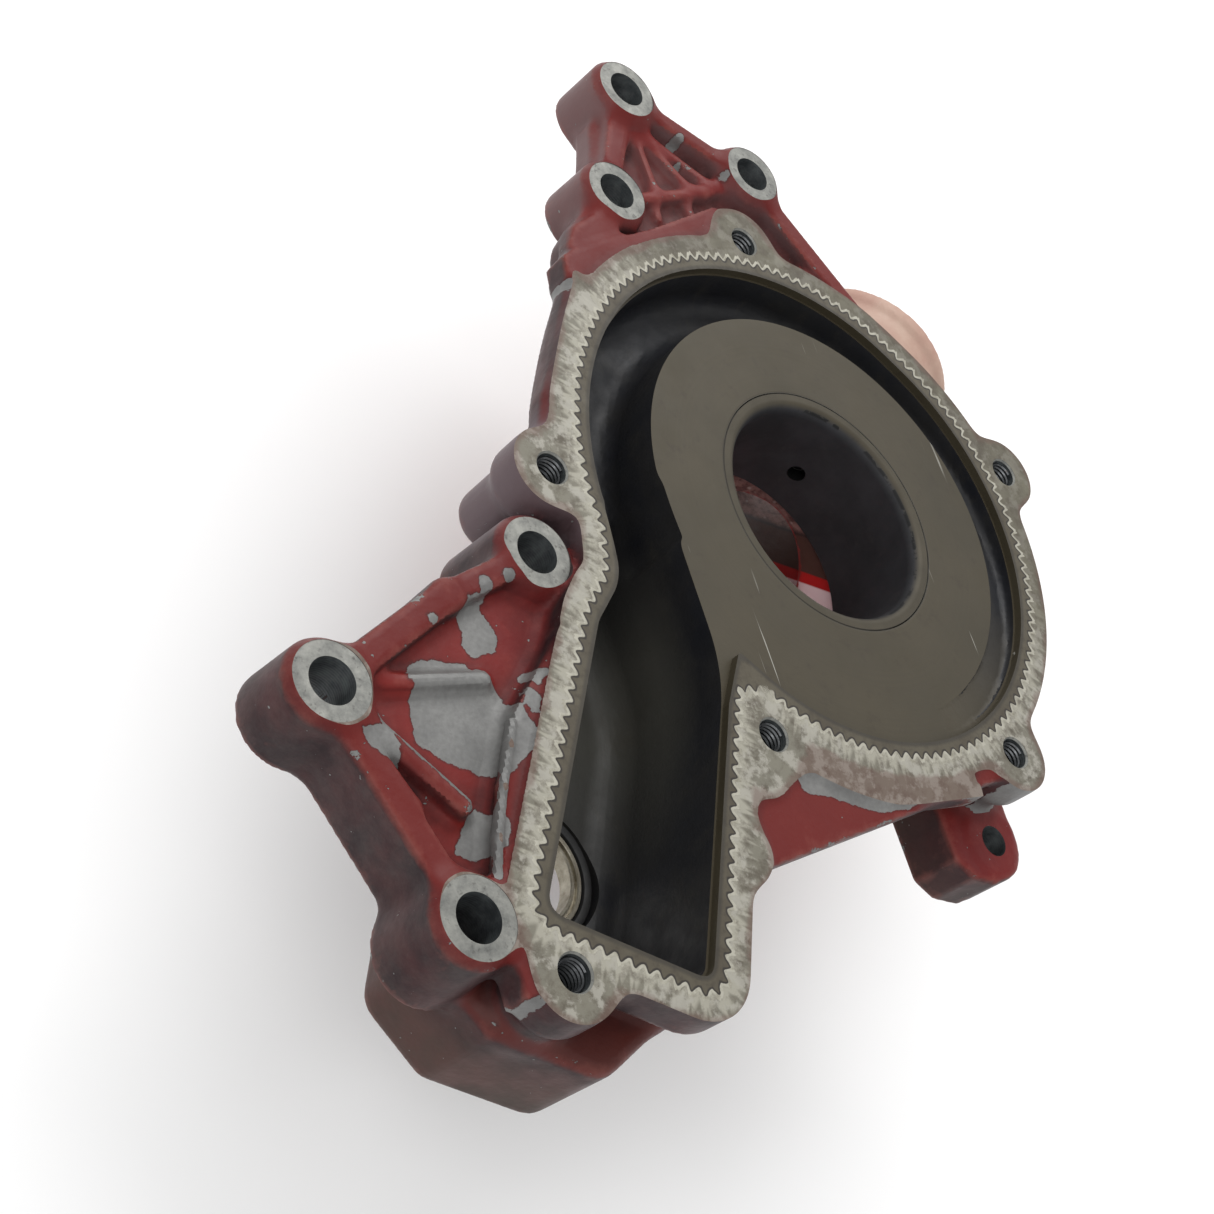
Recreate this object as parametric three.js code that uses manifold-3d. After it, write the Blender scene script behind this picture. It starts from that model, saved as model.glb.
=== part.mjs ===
// Volute housing of an engine coolant pump, with its suction elbow.
// Working frame: the machined cover flange is the plane z = 0 and faces +Z, the eye bore runs
// down the Z axis, and everything behind the flange has negative z. The finished group is then
// moved so that the origin is the middle of the underside of its bounding box.
import * as THREE from 'three';
import { mergeVertices } from 'three/addons/utils/BufferGeometryUtils.js';
import Module from 'manifold-3d';

const wasm = await Module();
wasm.setup();

// ---- driving dimensions, in millimetres and degrees ----
const GAP = 0.3; // clearance between touching pieces

const OPENING_RADIUS = 86; // volute opening around the eye, where the channel is shallow
const OPENING_GROWTH = 17; // how much the opening has grown when it reaches the outlet
const GROWTH_START = 45;
const GROWTH_END = 180;
const TONGUE_ANGLE = -134; // the opening's arc starts at the tongue ...
const OUTLET_ANGLE = 186; // ... and ends where it runs into the outlet chamber
const FLANGE_WIDTH = 13.5;
const FLANGE_THICKNESS = 13;

const CHANNEL_START = -80; // the channel ramps down from here, anticlockwise
const CHANNEL_INNER = 75;
const CHANNEL_DEPTH = 32; // where it runs into the deeper outlet chamber
const DISC_STEP = 3; // the disc lies this far below the flange face
const WALL = 6.5;
const CHAMBER_DEPTH = 55;
const BODY_DEPTH = 61;

const HUB_RADIUS = 69;
const HUB_DEPTH = 47;
const EYE_RADIUS = 39.5;
const EYE_RING_OUTER = 45.2;
const PASSAGE = { angle: 51, z: -30.7, radius: 3.3 };

const BOSS_RADIUS = 14.8;
const PAD_RADIUS = 11.7;
const MOUNT_HOLE_RADIUS = 7;
const BOSSES = {
  A: { x: -24.9, y: 167.8, top: -1, depth: 25 },
  B: { x: -48.5, y: 120.3, top: -1, depth: 24 },
  C: { x: 25.4, y: 139.7, top: -1, depth: 24 },
  D: { x: -218.2, y: -59.1, top: 0, depth: 26 },
  E: { x: -133.7, y: -18.9, top: -3, depth: 34 },
  F: { x: -194.3, y: -125.6, top: 0, depth: 30 },
};
const LUG = { x: 45, y: -115, top: -24, depth: 45, radius: 13.5, hole: 5.5 };

// Threaded holes for the cover: [x, y, depth of the boss behind the flange].
const COVER_HOLES = [
  [5.4, 106.5, 27],
  [-120, 8.2, 37],
  [101.1, 17.6, 27],
  [-67.1, -81, 27],
  [43.1, -92.5, 27],
  [-169.2, -143.2, 27],
];
const COVER_HOLE_DEPTH = 24;
const COVER_LAND = 13.5;
const INSERT = { outer: 5, inner: 4.25, top: -1.2, length: 18 };

const PORT = { x: -127, y: -98, recess: 23, bore: 17.5 };

const PIPE = { angle: 38.5, tilt: 7, z: -92, outer: 37.5, inner: 32.5, reach: 177, bead: 39 };
const BARREL = { outer: 48, inner: 42.5, bottom: -84 };
const ELBOW_FLANGE = { radius: 66.5, thickness: 10, boltCircle: 57.5 };
const BOLT_ANGLES = [55, 125, 235, 305].map((step) => PIPE.angle + step);

// ---- small helpers ----
const rad = THREE.MathUtils.degToRad;
const polar = (radius, degrees) => [radius * Math.cos(rad(degrees)), radius * Math.sin(rad(degrees))];
const clamp = THREE.MathUtils.clamp;

function solid(geometry) {
  const bare = geometry.index ? geometry.clone() : geometry;
  bare.deleteAttribute('normal');
  bare.deleteAttribute('uv');
  const merged = mergeVertices(bare, 1e-4);
  return new wasm.Manifold(new wasm.Mesh({
    numProp: 3,
    vertProperties: new Float32Array(merged.attributes.position.array),
    triVerts: new Uint32Array(merged.index.array),
  }));
}

const join = (solids) => solids.reduce((sum, one) => sum.add(one));
const cut = (body, tools) => tools.reduce((rest, tool) => rest.subtract(tool), body);

// Round bar along Z.
function rod(x, y, radius, top, bottom, sides = 20, bottomRadius = radius) {
  const geometry = new THREE.CylinderGeometry(radius, bottomRadius, top - bottom, sides);
  geometry.rotateX(Math.PI / 2);
  geometry.translate(x, y, (top + bottom) / 2);
  return solid(geometry);
}

// Round bar from one point to another.
function bar(from, to, radius, sides = 24) {
  const start = new THREE.Vector3(...from);
  const along = new THREE.Vector3(...to).sub(start);
  const geometry = new THREE.CylinderGeometry(radius, radius, along.length(), sides);
  const direction = along.clone().normalize();
  const turn = new THREE.Quaternion().setFromUnitVectors(new THREE.Vector3(0, 1, 0), direction);
  geometry.applyQuaternion(turn);
  geometry.translate(...start.addScaledVector(along, 0.5).toArray());
  return solid(geometry);
}

function ball(x, y, z, radius) {
  const geometry = new THREE.SphereGeometry(radius, 24, 14);
  geometry.translate(x, y, z);
  return solid(geometry);
}

function prism(points, top, bottom) {
  const shape = new THREE.Shape(points.map(([x, y]) => new THREE.Vector2(x, y)));
  const geometry = new THREE.ExtrudeGeometry(shape, { depth: top - bottom, bevelEnabled: false });
  geometry.translate(0, 0, bottom);
  return solid(geometry);
}

// Straight wall standing on the line between two points.
function wall(from, to, width, top, bottom) {
  const length = Math.hypot(to[0] - from[0], to[1] - from[1]);
  const geometry = new THREE.BoxGeometry(length, width, top - bottom);
  geometry.rotateZ(Math.atan2(to[1] - from[1], to[0] - from[0]));
  geometry.translate((from[0] + to[0]) / 2, (from[1] + to[1]) / 2, (top + bottom) / 2);
  return solid(geometry);
}

// Points round a corner [x, y, radius] between its neighbours, as a smooth curve.
function roundCorner(before, [x, y, radius], after, steps = 3) {
  const corner = new THREE.Vector2(x, y);
  const entry = new THREE.Vector2(before[0], before[1]).sub(corner).normalize();
  const exit = new THREE.Vector2(after[0], after[1]).sub(corner).normalize();
  const reach = radius / Math.tan(entry.angleTo(exit) / 2);
  const curve = new THREE.QuadraticBezierCurve(
    corner.clone().addScaledVector(entry, reach), corner, corner.clone().addScaledVector(exit, reach));
  return curve.getPoints(steps).map((point) => [point.x, point.y]);
}

function roundedPolygon(corners) {
  return corners.flatMap((corner, i) => roundCorner(
    corners.at(i - 1), corner, corners[(i + 1) % corners.length]));
}

// Outline moved outwards by a distance, point by point along its local normal.
function offset(points, distance) {
  return points.map(([x, y], i) => {
    const [x0, y0] = points.at(i - 1);
    const [x1, y1] = points[(i + 1) % points.length];
    const length = Math.hypot(x1 - x0, y1 - y0);
    return [x + distance * (y1 - y0) / length, y - distance * (x1 - x0) / length];
  });
}

// Solid swept round the eye axis: section(angle) gives [radius, z] points in order.
function sweep(section, from, to, steps) {
  const rings = Array.from({ length: steps + 1 }, (_, i) => {
    const angle = from + (to - from) * i / steps;
    return section(angle).map(([radius, z]) => [...polar(radius, angle), z]);
  });
  const count = rings[0].length;
  const faces = [];
  for (let i = 0; i < steps; i += 1) {
    for (let j = 0; j < count; j += 1) {
      const here = i * count + j;
      const next = i * count + (j + 1) % count;
      faces.push(here, here + count, next, next, here + count, next + count);
    }
  }
  const section2d = section(from).map(([radius, z]) => new THREE.Vector2(radius, z));
  const cap = THREE.ShapeUtils.triangulateShape(section2d, []);
  const last = steps * count;
  for (const [a, b, c] of cap) {
    faces.push(a, b, c, last + c, last + b, last + a);
  }
  const geometry = new THREE.BufferGeometry();
  geometry.setAttribute('position', new THREE.Float32BufferAttribute(rings.flat(2), 3));
  geometry.setIndex(faces);
  return solid(geometry);
}

// ---- outlines ----
const ARC_STEPS = 32;
const SWEEP_STEPS = 26;

function openingRadius(angle) {
  const grown = clamp((angle - GROWTH_START) / (GROWTH_END - GROWTH_START), 0, 1);
  return OPENING_RADIUS + OPENING_GROWTH * grown;
}

const OPENING_ARC = Array.from({ length: ARC_STEPS + 1 }, (_, i) => {
  const angle = TONGUE_ANGLE + (OUTLET_ANGLE - TONGUE_ANGLE) * i / ARC_STEPS;
  return polar(openingRadius(angle), angle);
});
const CHAMBER_CORNERS = [
  [-107.5, -30, 10],
  [-121, -43, 14],
  [-171.3, -125.5, 5],
  [-123.7, -150.3, 5],
];
const BLUNT_TONGUE = [[-78.5, -60, 5]];
const POINTED_TONGUE = [[-82, -70, 6], [-69.5, -52, 1.5]];

function openingOutline(tongue) {
  const bends = [...CHAMBER_CORNERS, ...tongue];
  const chain = [OPENING_ARC.at(-1), ...bends, OPENING_ARC[0]];
  const corners = bends.flatMap((corner, i) => roundCorner(chain[i], corner, chain[i + 2]));
  return [...OPENING_ARC, ...corners];
}

const OPENING = openingOutline(POINTED_TONGUE);
const CHAMBER = roundedPolygon([
  [-84, 10, 3],
  [-103, -5, 5],
  ...CHAMBER_CORNERS,
  [-75.5, -57.9, 60],
  [-74.8, 6, 1],
]);

// ---- the casting ----
function channelDepth(angle) {
  const way = clamp((angle - CHANNEL_START) / (OUTLET_ANGLE - CHANNEL_START), 0, 1);
  return DISC_STEP + (CHANNEL_DEPTH - DISC_STEP) * way ** 1.3;
}

function channelSection(angle) {
  const outer = openingRadius(angle);
  const floor = -channelDepth(angle) - 0.2;
  const fillet = Math.min(7, -floor / 3);
  return [
    [CHANNEL_INNER, 1],
    [CHANNEL_INNER, floor + fillet],
    [CHANNEL_INNER + 0.3 * fillet, floor + 0.3 * fillet],
    [CHANNEL_INNER + fillet, floor],
    [outer - fillet, floor],
    [outer - 0.3 * fillet, floor + 0.3 * fillet],
    [outer, floor + fillet],
    [outer, 1],
  ];
}

function bodySection(angle) {
  const outer = openingRadius(angle) + WALL;
  const bottom = -channelDepth(angle) - WALL;
  const round = Math.min(12, (-4.4 - bottom) * 0.6);
  return [
    [HUB_RADIUS - 2, -4.4],
    [HUB_RADIUS - 2, bottom],
    [outer - round, bottom],
    [outer - 0.3 * round, bottom + 0.3 * round],
    [outer, bottom + round],
    [outer, -4.4],
  ];
}

const SKIRT_SECTION = [[86, -7], [86, -50], [92.5, -50], [92.5, -7]];

function voluteBody() {
  const flangePlan = prism(offset(openingOutline(BLUNT_TONGUE), FLANGE_WIDTH), 0, -FLANGE_THICKNESS);
  const lands = COVER_HOLES.flatMap(([x, y, depth]) => [
    rod(x, y, COVER_LAND, 0, -FLANGE_THICKNESS),
    rod(x, y, COVER_LAND - 2, -FLANGE_THICKNESS + 1, -depth, 16),
  ]);
  return [
    flangePlan,
    ...lands,
    sweep(bodySection, CHANNEL_START, OUTLET_ANGLE, SWEEP_STEPS),
    sweep(() => SKIRT_SECTION, TONGUE_ANGLE, -36, 10),
    rod(0, 0, HUB_RADIUS, -DISC_STEP - 3, -HUB_DEPTH, 48),
    prism(offset(CHAMBER, WALL), -6.3, -BODY_DEPTH),
  ];
}

// Round lobe of the body behind the outlet chamber.
const REAR_BODY = roundedPolygon([
  [-176, -82, 12],
  [-197.5, -129, 12],
  [-187, -151, 10],
  [-150, -168, 12],
  [-92, -142, 16],
  [-110, -90, 8],
]);

// Flat stretches beside the flange, cast a little below its machined face.
function sideLands() {
  return [
    prism([[-78, -90], [-86, -121.7], [-81, -120.8], [3, -106.1], [44, -99], [30, -88]], -0.9, -6.9),
    prism([
      [-86, 80], [-84, 90], [-62, 98.5], [-40, 106], [-3, 121], [8, 116], [0, 95], [-60, 76],
    ], -0.8, -11.5),
    prism([
      [-121, -33], [-136.5, -47], [-159.5, -70.5], [-168, -83], [-174, -95], [-181, -114.5],
      [-186, -148], [-172, -150], [-160, -110], [-128, -50], [-114, -34],
    ], -1.5, -12.4),
    prism([
      [-119, 22], [-112, 36], [-102.5, 49], [-93.5, 66], [-84, 82.5], [-78, 97],
      [-73, 104], [-55, 114], [-50, 95], [-80, 62], [-100, 20],
    ], -1.8, -9.2),
  ];
}

function backRibs() {
  return [-118, -95, -70, -45, -20].map((angle) => wall(polar(60, angle), polar(88, angle), 5, -9, -44));
}

function boss({ x, y, top, depth }) {
  return [
    rod(x, y, BOSS_RADIUS - 1.5, top - 1.5, -depth, 20, BOSS_RADIUS),
    rod(x, y, PAD_RADIUS, top, top - 3),
  ];
}

const at = (name) => [BOSSES[name].x, BOSSES[name].y];

function topBracket() {
  const web = prism([
    [-50, 122], [-40, 158], [-20, 163], [22, 142], [52, 88], [-75, 78], [-70, 100],
  ], -11, -20);
  const rims = [
    wall(at('A'), at('C'), 8, -3, -22),
    wall(at('A'), at('B'), 9, -4, -23),
    wall(at('B'), [-69, 99], 12, -5.2, -16),
    wall(at('C'), [56, 86], 10, -3, -24),
    wall(at('B'), [2, 132], 5, -6, -20),
    wall([2, 132], at('C'), 5, -6, -20),
  ];
  const fan = [[-38, 138], [-22, 131], [-4, 133], [6, 137]];
  const ribs = fan.map((foot) => wall([-22, 158], foot, 4, -7, -20));
  return [web, ...rims, ...ribs, wall([15, 118], [40, 100], 4, -7, -20)];
}

function leftBracket() {
  const web = prism([
    [-134, -22], [-170, -38], [-212, -56], [-208, -90], [-196, -122], [-170, -118], [-128, -45],
  ], -9, -19);
  const rims = [
    wall(at('E'), [-172, -34], 9, -3, -30),
    wall([-170, -33], at('D'), 10, -2, -24),
    wall(at('D'), at('F'), 11, -2, -27),
    wall([-206, -70], [-186, -94], 6, -3, -19),
    wall([-213, -74], [-201, -92], 5, -4, -19),
    wall([-197, -57], [-164, -57], 5, -5, -19),
  ];
  return [web, ...rims];
}

function lug() {
  const { x, y, top, depth, radius } = LUG;
  const root = [[23, -84], [23, -120], [29, -127], [40, -130], [52, -126], [58, -112], [60, -72]];
  return [rod(x, y, radius, top, -depth), prism(root, top, -depth)];
}

function passageLine(from, to) {
  return [[...polar(from, PASSAGE.angle), PASSAGE.z], [...polar(to, PASSAGE.angle), PASSAGE.z]];
}

function housing() {
  const body = join([
    ...voluteBody(),
    prism(REAR_BODY, -22, -BODY_DEPTH + 0.7),
    ...sideLands(),
    ...backRibs(),
    ...Object.values(BOSSES).flatMap(boss),
    ...topBracket(),
    ...leftBracket(),
    ...lug(),
    bar(...passageLine(60, 98), 7.5, 12),
  ]);
  const hollows = [
    sweep(channelSection, CHANNEL_START, OUTLET_ANGLE + 2, SWEEP_STEPS),
    prism(CHAMBER, 1, -CHAMBER_DEPTH),
    prism(offset(OPENING, 0.8), 1, -DISC_STEP),
    rod(0, 0, EYE_RING_OUTER + GAP, 1, -80, 40),
    rod(0, 0, ELBOW_FLANGE.radius + 1, -HUB_DEPTH, -80, 48),
    rod(PORT.x, PORT.y, PORT.recess, -CHAMBER_DEPTH + 1, -CHAMBER_DEPTH - 3.5, 28),
    rod(PORT.x, PORT.y, PORT.bore, -CHAMBER_DEPTH, -80, 28),
    rod(...at('F'), 10.5, -BOSSES.F.depth, -80),
    rod(LUG.x, LUG.y, LUG.hole, 0, -60, 16),
    bar(...passageLine(20, 89.3), PASSAGE.radius, 12),
    bar(...passageLine(88, 110), 5 + GAP, 16),
    ...Object.values(BOSSES).map(({ x, y }) => rod(x, y, MOUNT_HOLE_RADIUS, 5, -70, 20)),
    ...COVER_HOLES.map(([x, y]) => rod(x, y, INSERT.outer + GAP, 5, -COVER_HOLE_DEPTH, 16)),
    ...BOLT_ANGLES.map((angle) => rod(...polar(ELBOW_FLANGE.boltCircle, angle), 4.3, -29, -80, 12)),
  ];
  return cut(body, hollows);
}

// ---- pieces in and behind the casting ----
function tube(x, y, outer, inner, top, bottom, sides = 28) {
  return cut(rod(x, y, outer, top, bottom, sides), [rod(x, y, inner, top + 1, bottom - 1, sides)]);
}

function eyeRing() {
  const ring = tube(0, 0, EYE_RING_OUTER, EYE_RADIUS, -DISC_STEP, -HUB_DEPTH + GAP, 40);
  const lip = rod(0, 0, EYE_RADIUS + 3.1, -DISC_STEP + 0.2, -DISC_STEP - 4.8, 40, EYE_RADIUS - 0.1);
  return cut(ring, [lip, bar(...passageLine(30, 60), PASSAGE.radius, 12)]);
}

function pipeDirection() {
  return new THREE.Vector3(...polar(Math.cos(rad(PIPE.tilt)), PIPE.angle), Math.sin(rad(PIPE.tilt)));
}

function pipeLine(from, to) {
  const origin = new THREE.Vector3(0, 0, PIPE.z);
  return [from, to].map((way) => origin.clone().addScaledVector(pipeDirection(), way).toArray());
}

const ELBOW_TOP = -HUB_DEPTH - GAP;
const ELBOW_FLANGE_BOTTOM = ELBOW_TOP - ELBOW_FLANGE.thickness;
const O_RING = { radius: 48.9, thickness: 1.3 };

function elbow() {
  const pipeEnd = PIPE.reach / Math.cos(rad(PIPE.tilt));
  const pipe = join([
    bar(...pipeLine(10, pipeEnd), PIPE.outer, 28),
    bar(...pipeLine(pipeEnd - 6, pipeEnd + 0.01), PIPE.bead, 28),
  ]);
  // Near the flange nothing of the pipe stands above the joint face.
  const [clearX, clearY] = polar(145, PIPE.angle);
  const aboveJoint = cut(rod(0, 0, 160, 0, ELBOW_TOP - 1), [rod(clearX, clearY, 75, 1, ELBOW_TOP - 2)]);
  const outside = join([
    pipe.subtract(aboveJoint),
    rod(0, 0, BARREL.outer, ELBOW_TOP - 5, BARREL.bottom, 36),
    ball(0, 0, BARREL.bottom, BARREL.outer),
    rod(0, 0, ELBOW_FLANGE.radius, ELBOW_TOP, ELBOW_FLANGE_BOTTOM, 36),
  ]);
  return cut(outside, [
    rod(0, 0, BARREL.inner, 0, BARREL.bottom, 36),
    ball(0, 0, BARREL.bottom, BARREL.inner - 0.05),
    bar(...pipeLine(10, pipeEnd + 5), PIPE.inner, 28),
    tube(0, 0, O_RING.radius + 1.8, O_RING.radius - 1.8, -40, ELBOW_TOP - 2.9),
    ...BOLT_ANGLES.map((angle) => rod(...polar(ELBOW_FLANGE.boltCircle, angle), 4.5, -40, -64, 12)),
    ...BOLT_ANGLES.map((angle) => rod(
      ...polar(ELBOW_FLANGE.boltCircle, angle), 8.6, ELBOW_FLANGE_BOTTOM - 0.2, -69, 16)),
  ]);
}

function elbowBolt(angle) {
  const [x, y] = polar(ELBOW_FLANGE.boltCircle, angle);
  const seat = ELBOW_FLANGE_BOTTOM - 0.2 - GAP;
  return join([
    rod(x, y, 4, -31, seat - 1, 12),
    rod(x, y, 8, seat, seat - 2, 16),
    rod(x, y, 7.4, seat - 1, seat - 8.5, 6),
  ]);
}

function passagePlug() {
  const socket = bar(...passageLine(95.5, 101), 2.6, 6);
  const shank = bar(...passageLine(89, 99), 5, 16);
  const head = bar(...passageLine(98 + GAP, 100.5), 6.8, 16);
  return cut(join([shank, head]), [socket]);
}

// ---- scene graph ----
const PAINT = { color: 0x7a2f2b, roughness: 0.5, metalness: 0.1 };
const STEEL = { color: 0x9a9c9e, roughness: 0.35, metalness: 0.9 };
const MACHINED = { color: 0x77746b, roughness: 0.45, metalness: 0.6 };
const RUBBER = { color: 0x17191a, roughness: 0.8, metalness: 0 };
const BRASS = { color: 0xa8863f, roughness: 0.4, metalness: 0.9 };

const group = new THREE.Group();

function place(name, body, look) {
  const { numProp, vertProperties, triVerts } = body.getMesh();
  const geometry = new THREE.BufferGeometry();
  geometry.setAttribute('position', new THREE.BufferAttribute(new Float32Array(vertProperties), numProp));
  geometry.setIndex(new THREE.BufferAttribute(new Uint32Array(triVerts), 1));
  geometry.computeVertexNormals();
  const mesh = new THREE.Mesh(geometry, new THREE.MeshStandardMaterial(look));
  mesh.name = name;
  group.add(mesh);
}

place('volute_housing', housing(), PAINT);
place('eye_ring', eyeRing(), MACHINED);
COVER_HOLES.forEach(([x, y], i) => {
  const bottom = INSERT.top - INSERT.length;
  const insert = tube(x, y, INSERT.outer, INSERT.inner, INSERT.top, bottom, 16);
  place(`cover_thread_insert_${i + 1}`, insert, STEEL);
});
place('outlet_port_seal', tube(PORT.x, PORT.y, PORT.recess - GAP, PORT.bore + 1.6,
  -CHAMBER_DEPTH, -CHAMBER_DEPTH - 3.2), RUBBER);
place('outlet_port_sleeve', join([
  tube(PORT.x, PORT.y, PORT.bore - GAP, PORT.bore - 2.5, -CHAMBER_DEPTH - 1, -BODY_DEPTH - 1.5),
  tube(PORT.x, PORT.y, PORT.bore + 1.3, PORT.bore - 2.5, -CHAMBER_DEPTH - 0.6, -CHAMBER_DEPTH - 3.2),
]), STEEL);
place('suction_elbow', elbow(), PAINT);
place('elbow_o_ring', solid(new THREE.TorusGeometry(O_RING.radius, O_RING.thickness, 6, 32)
  .translate(0, 0, ELBOW_TOP - 1.4)), RUBBER);
BOLT_ANGLES.forEach((angle, i) => place(`elbow_bolt_${i + 1}`, elbowBolt(angle), STEEL));
place('passage_plug', passagePlug(), BRASS);

const box = new THREE.Box3().setFromObject(group);
const centre = box.getCenter(new THREE.Vector3());
group.children.forEach((mesh) => mesh.geometry.translate(-centre.x, -centre.y, -box.min.z));

export default group;
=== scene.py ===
import math

import bmesh
import bpy
import numpy as np
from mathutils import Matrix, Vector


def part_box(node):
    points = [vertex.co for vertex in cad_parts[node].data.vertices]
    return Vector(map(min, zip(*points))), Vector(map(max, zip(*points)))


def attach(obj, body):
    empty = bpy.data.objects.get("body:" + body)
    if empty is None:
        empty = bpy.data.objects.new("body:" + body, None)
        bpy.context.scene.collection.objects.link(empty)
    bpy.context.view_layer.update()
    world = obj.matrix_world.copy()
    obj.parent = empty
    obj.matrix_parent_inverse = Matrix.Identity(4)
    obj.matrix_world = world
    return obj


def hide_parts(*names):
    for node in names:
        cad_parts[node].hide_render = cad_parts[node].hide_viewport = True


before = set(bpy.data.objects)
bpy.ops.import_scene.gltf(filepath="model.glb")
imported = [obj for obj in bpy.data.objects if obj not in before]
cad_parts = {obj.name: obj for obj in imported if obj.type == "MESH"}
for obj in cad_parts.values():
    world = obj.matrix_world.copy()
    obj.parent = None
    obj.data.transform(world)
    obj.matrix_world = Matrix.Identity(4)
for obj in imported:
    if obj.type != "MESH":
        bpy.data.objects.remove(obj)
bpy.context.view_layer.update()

import openvdb
from mathutils import Matrix, Vector

MM = 0.001

ring_low, ring_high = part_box("eye_ring")
housing_low, housing_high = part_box("volute_housing")
ORIGIN = Vector((
    (ring_low[0] + ring_high[0]) / 2,
    (ring_low[1] + ring_high[1]) / 2,
    housing_high[2],
))


def place(points):
    """Working-frame millimetres to metres in the frame."""
    return np.asarray(points, dtype=float) * MM + np.array(ORIGIN)


# ---------------------------------------------------------------- dimensions
OPENING_RADIUS = 86.0
OPENING_GROWTH = 17.0
GROWTH_START = 45.0
GROWTH_END = 180.0
TONGUE_ANGLE = -134.0
OUTLET_ANGLE = 186.0
FLANGE_WIDTH = 13.5
FLANGE_THICKNESS = 13.0
FLANGE_FACE = -0.03
CHANNEL_START = -80.0
CHANNEL_INNER = 75.0
CHANNEL_DEPTH = 32.0
DISC_STEP = 3.0
WALL = 6.5
LEDGE_EDGE = 0.3
CHAMBER_DEPTH = 55.0
BODY_DEPTH = 60.8
HUB_RADIUS = 69.0
HUB_DEPTH = 47.0
EYE_RADIUS = 39.5
EYE_RING_OUTER = 45.2
RING_LINE = 45.6           # middle of the joint line round the eye ring
PASSAGE_ANGLE = 51.0
PASSAGE_Z = -30.7
PASSAGE_START = (0, 0, PASSAGE_Z)
PASSAGE_RADIUS = 3.3
PASSAGE_THREAD_RADIUS = 5.3

# Mounting bosses: x, y, height of the pad, depth.
BOSSES = {
    "A": (-24.9, 167.8, -1.0, 25.0),
    "B": (-48.5, 120.3, -1.0, 24.0),
    "C": (25.4, 139.7, -1.0, 24.0),
    "D": (-218.2, -59.1, -0.1, 26.0),
    "E": (-133.7, -18.9, -3.0, 34.0),
    "F": (-194.3, -125.6, -0.1, 30.0),
}
BLIND_HOLE_BOTTOM = -20.0  # of boss F
COVER_HOLES = [(5.4, 106.5), (-120, 8.2), (101.1, 17.6), (-67.1, -81), (43.1, -92.5), (-169.2, -143.2)]
COVER_BOSS_DEPTHS = [27, 37, 27, 27, 27, 27]
BOLT_CIRCLE = 57.5
BOLT_ANGLES = [38.5 + step for step in (55, 125, 235, 305)]
PAD_RADIUS = 11.7
MOUNT_HOLE = 7.0
LUG = (45.0, -115.0, -24.0, 45.0)
LUG_HOLE = 5.5
COVER_THREAD_HOLE = 5.3
RUBBED_BOSS = (-124, 6)    # spot on the cover boss beside bracket hole E where the paint is rubbed
PORT = (-127.0, -98.0)
CHAMBER_CORNERS = [
    (-107.5, -30, 22),
    (-121, -43, 14),
    (-171.3, -125.5, 5),
    (-123.7, -150.3, 5),
]
# The photograph's view, used by the camera and by the bands painted inside the elbow.
CAMERA_SPOT = (-512.1, -239.9, 400.0)
CAMERA_RIGHT = Vector((0.74987, -0.29786, 0.59074))
CAMERA_UP = Vector((0.0, 0.89291, 0.45023))
CAMERA_BACK = Vector((-0.66158, -0.33761, 0.66957))
CAMERA_LENS = 60.97
BLUNT_TONGUE = [(-78.5, -60, 5)]
POINTED_TONGUE = [(-82, -70, 6), (-69.5, -52, 1.5)]


# ---------------------------------------------------------------- outlines
def polar(radius, degrees):
    return radius * math.cos(math.radians(degrees)), radius * math.sin(math.radians(degrees))


def opening_radius(angle):
    return OPENING_RADIUS + OPENING_GROWTH * np.clip(
        (angle - GROWTH_START) / (GROWTH_END - GROWTH_START), 0, 1)


def channel_depth(angle):
    way = np.clip((angle - CHANNEL_START) / (OUTLET_ANGLE - CHANNEL_START), 0, 1)
    return DISC_STEP + (CHANNEL_DEPTH - DISC_STEP) * way ** 1.3


def round_corner(before, corner, after, steps=8):
    """Points of a smooth curve that rounds the corner (x, y, radius)."""
    x, y, radius = corner
    middle = Vector((x, y))
    entry = (Vector(before[:2]) - middle).normalized()
    leave = (Vector(after[:2]) - middle).normalized()
    reach = radius / math.tan(entry.angle(leave) / 2)
    first, last = middle + entry * reach, middle + leave * reach
    points = []
    for i in range(steps + 1):
        t = i / steps
        points.append(tuple(first * (1 - t) ** 2 + middle * 2 * t * (1 - t) + last * t * t))
    return points


def rounded_polygon(corners):
    points = []
    for i, corner in enumerate(corners):
        points += round_corner(corners[i - 1], corner, corners[(i + 1) % len(corners)])
    return np.array(points)


def pushed_out(before, corner, after, grow):
    """The corner (x, y, radius) of a path, moved so that both its sides lie `grow` further out."""
    x, y, radius = corner
    middle = Vector((x, y))
    entry = (middle - Vector(before[:2])).normalized()
    leave = (Vector(after[:2]) - middle).normalized()
    turn = entry.x * leave.y - entry.y * leave.x
    outward = (Vector((entry.y, -entry.x)) + Vector((leave.y, -leave.x))).normalized()
    reach = grow / max(outward.dot(Vector((entry.y, -entry.x))), 0.3)
    middle += outward * reach
    return middle.x, middle.y, max(radius + math.copysign(grow, turn), 1.5)


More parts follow.
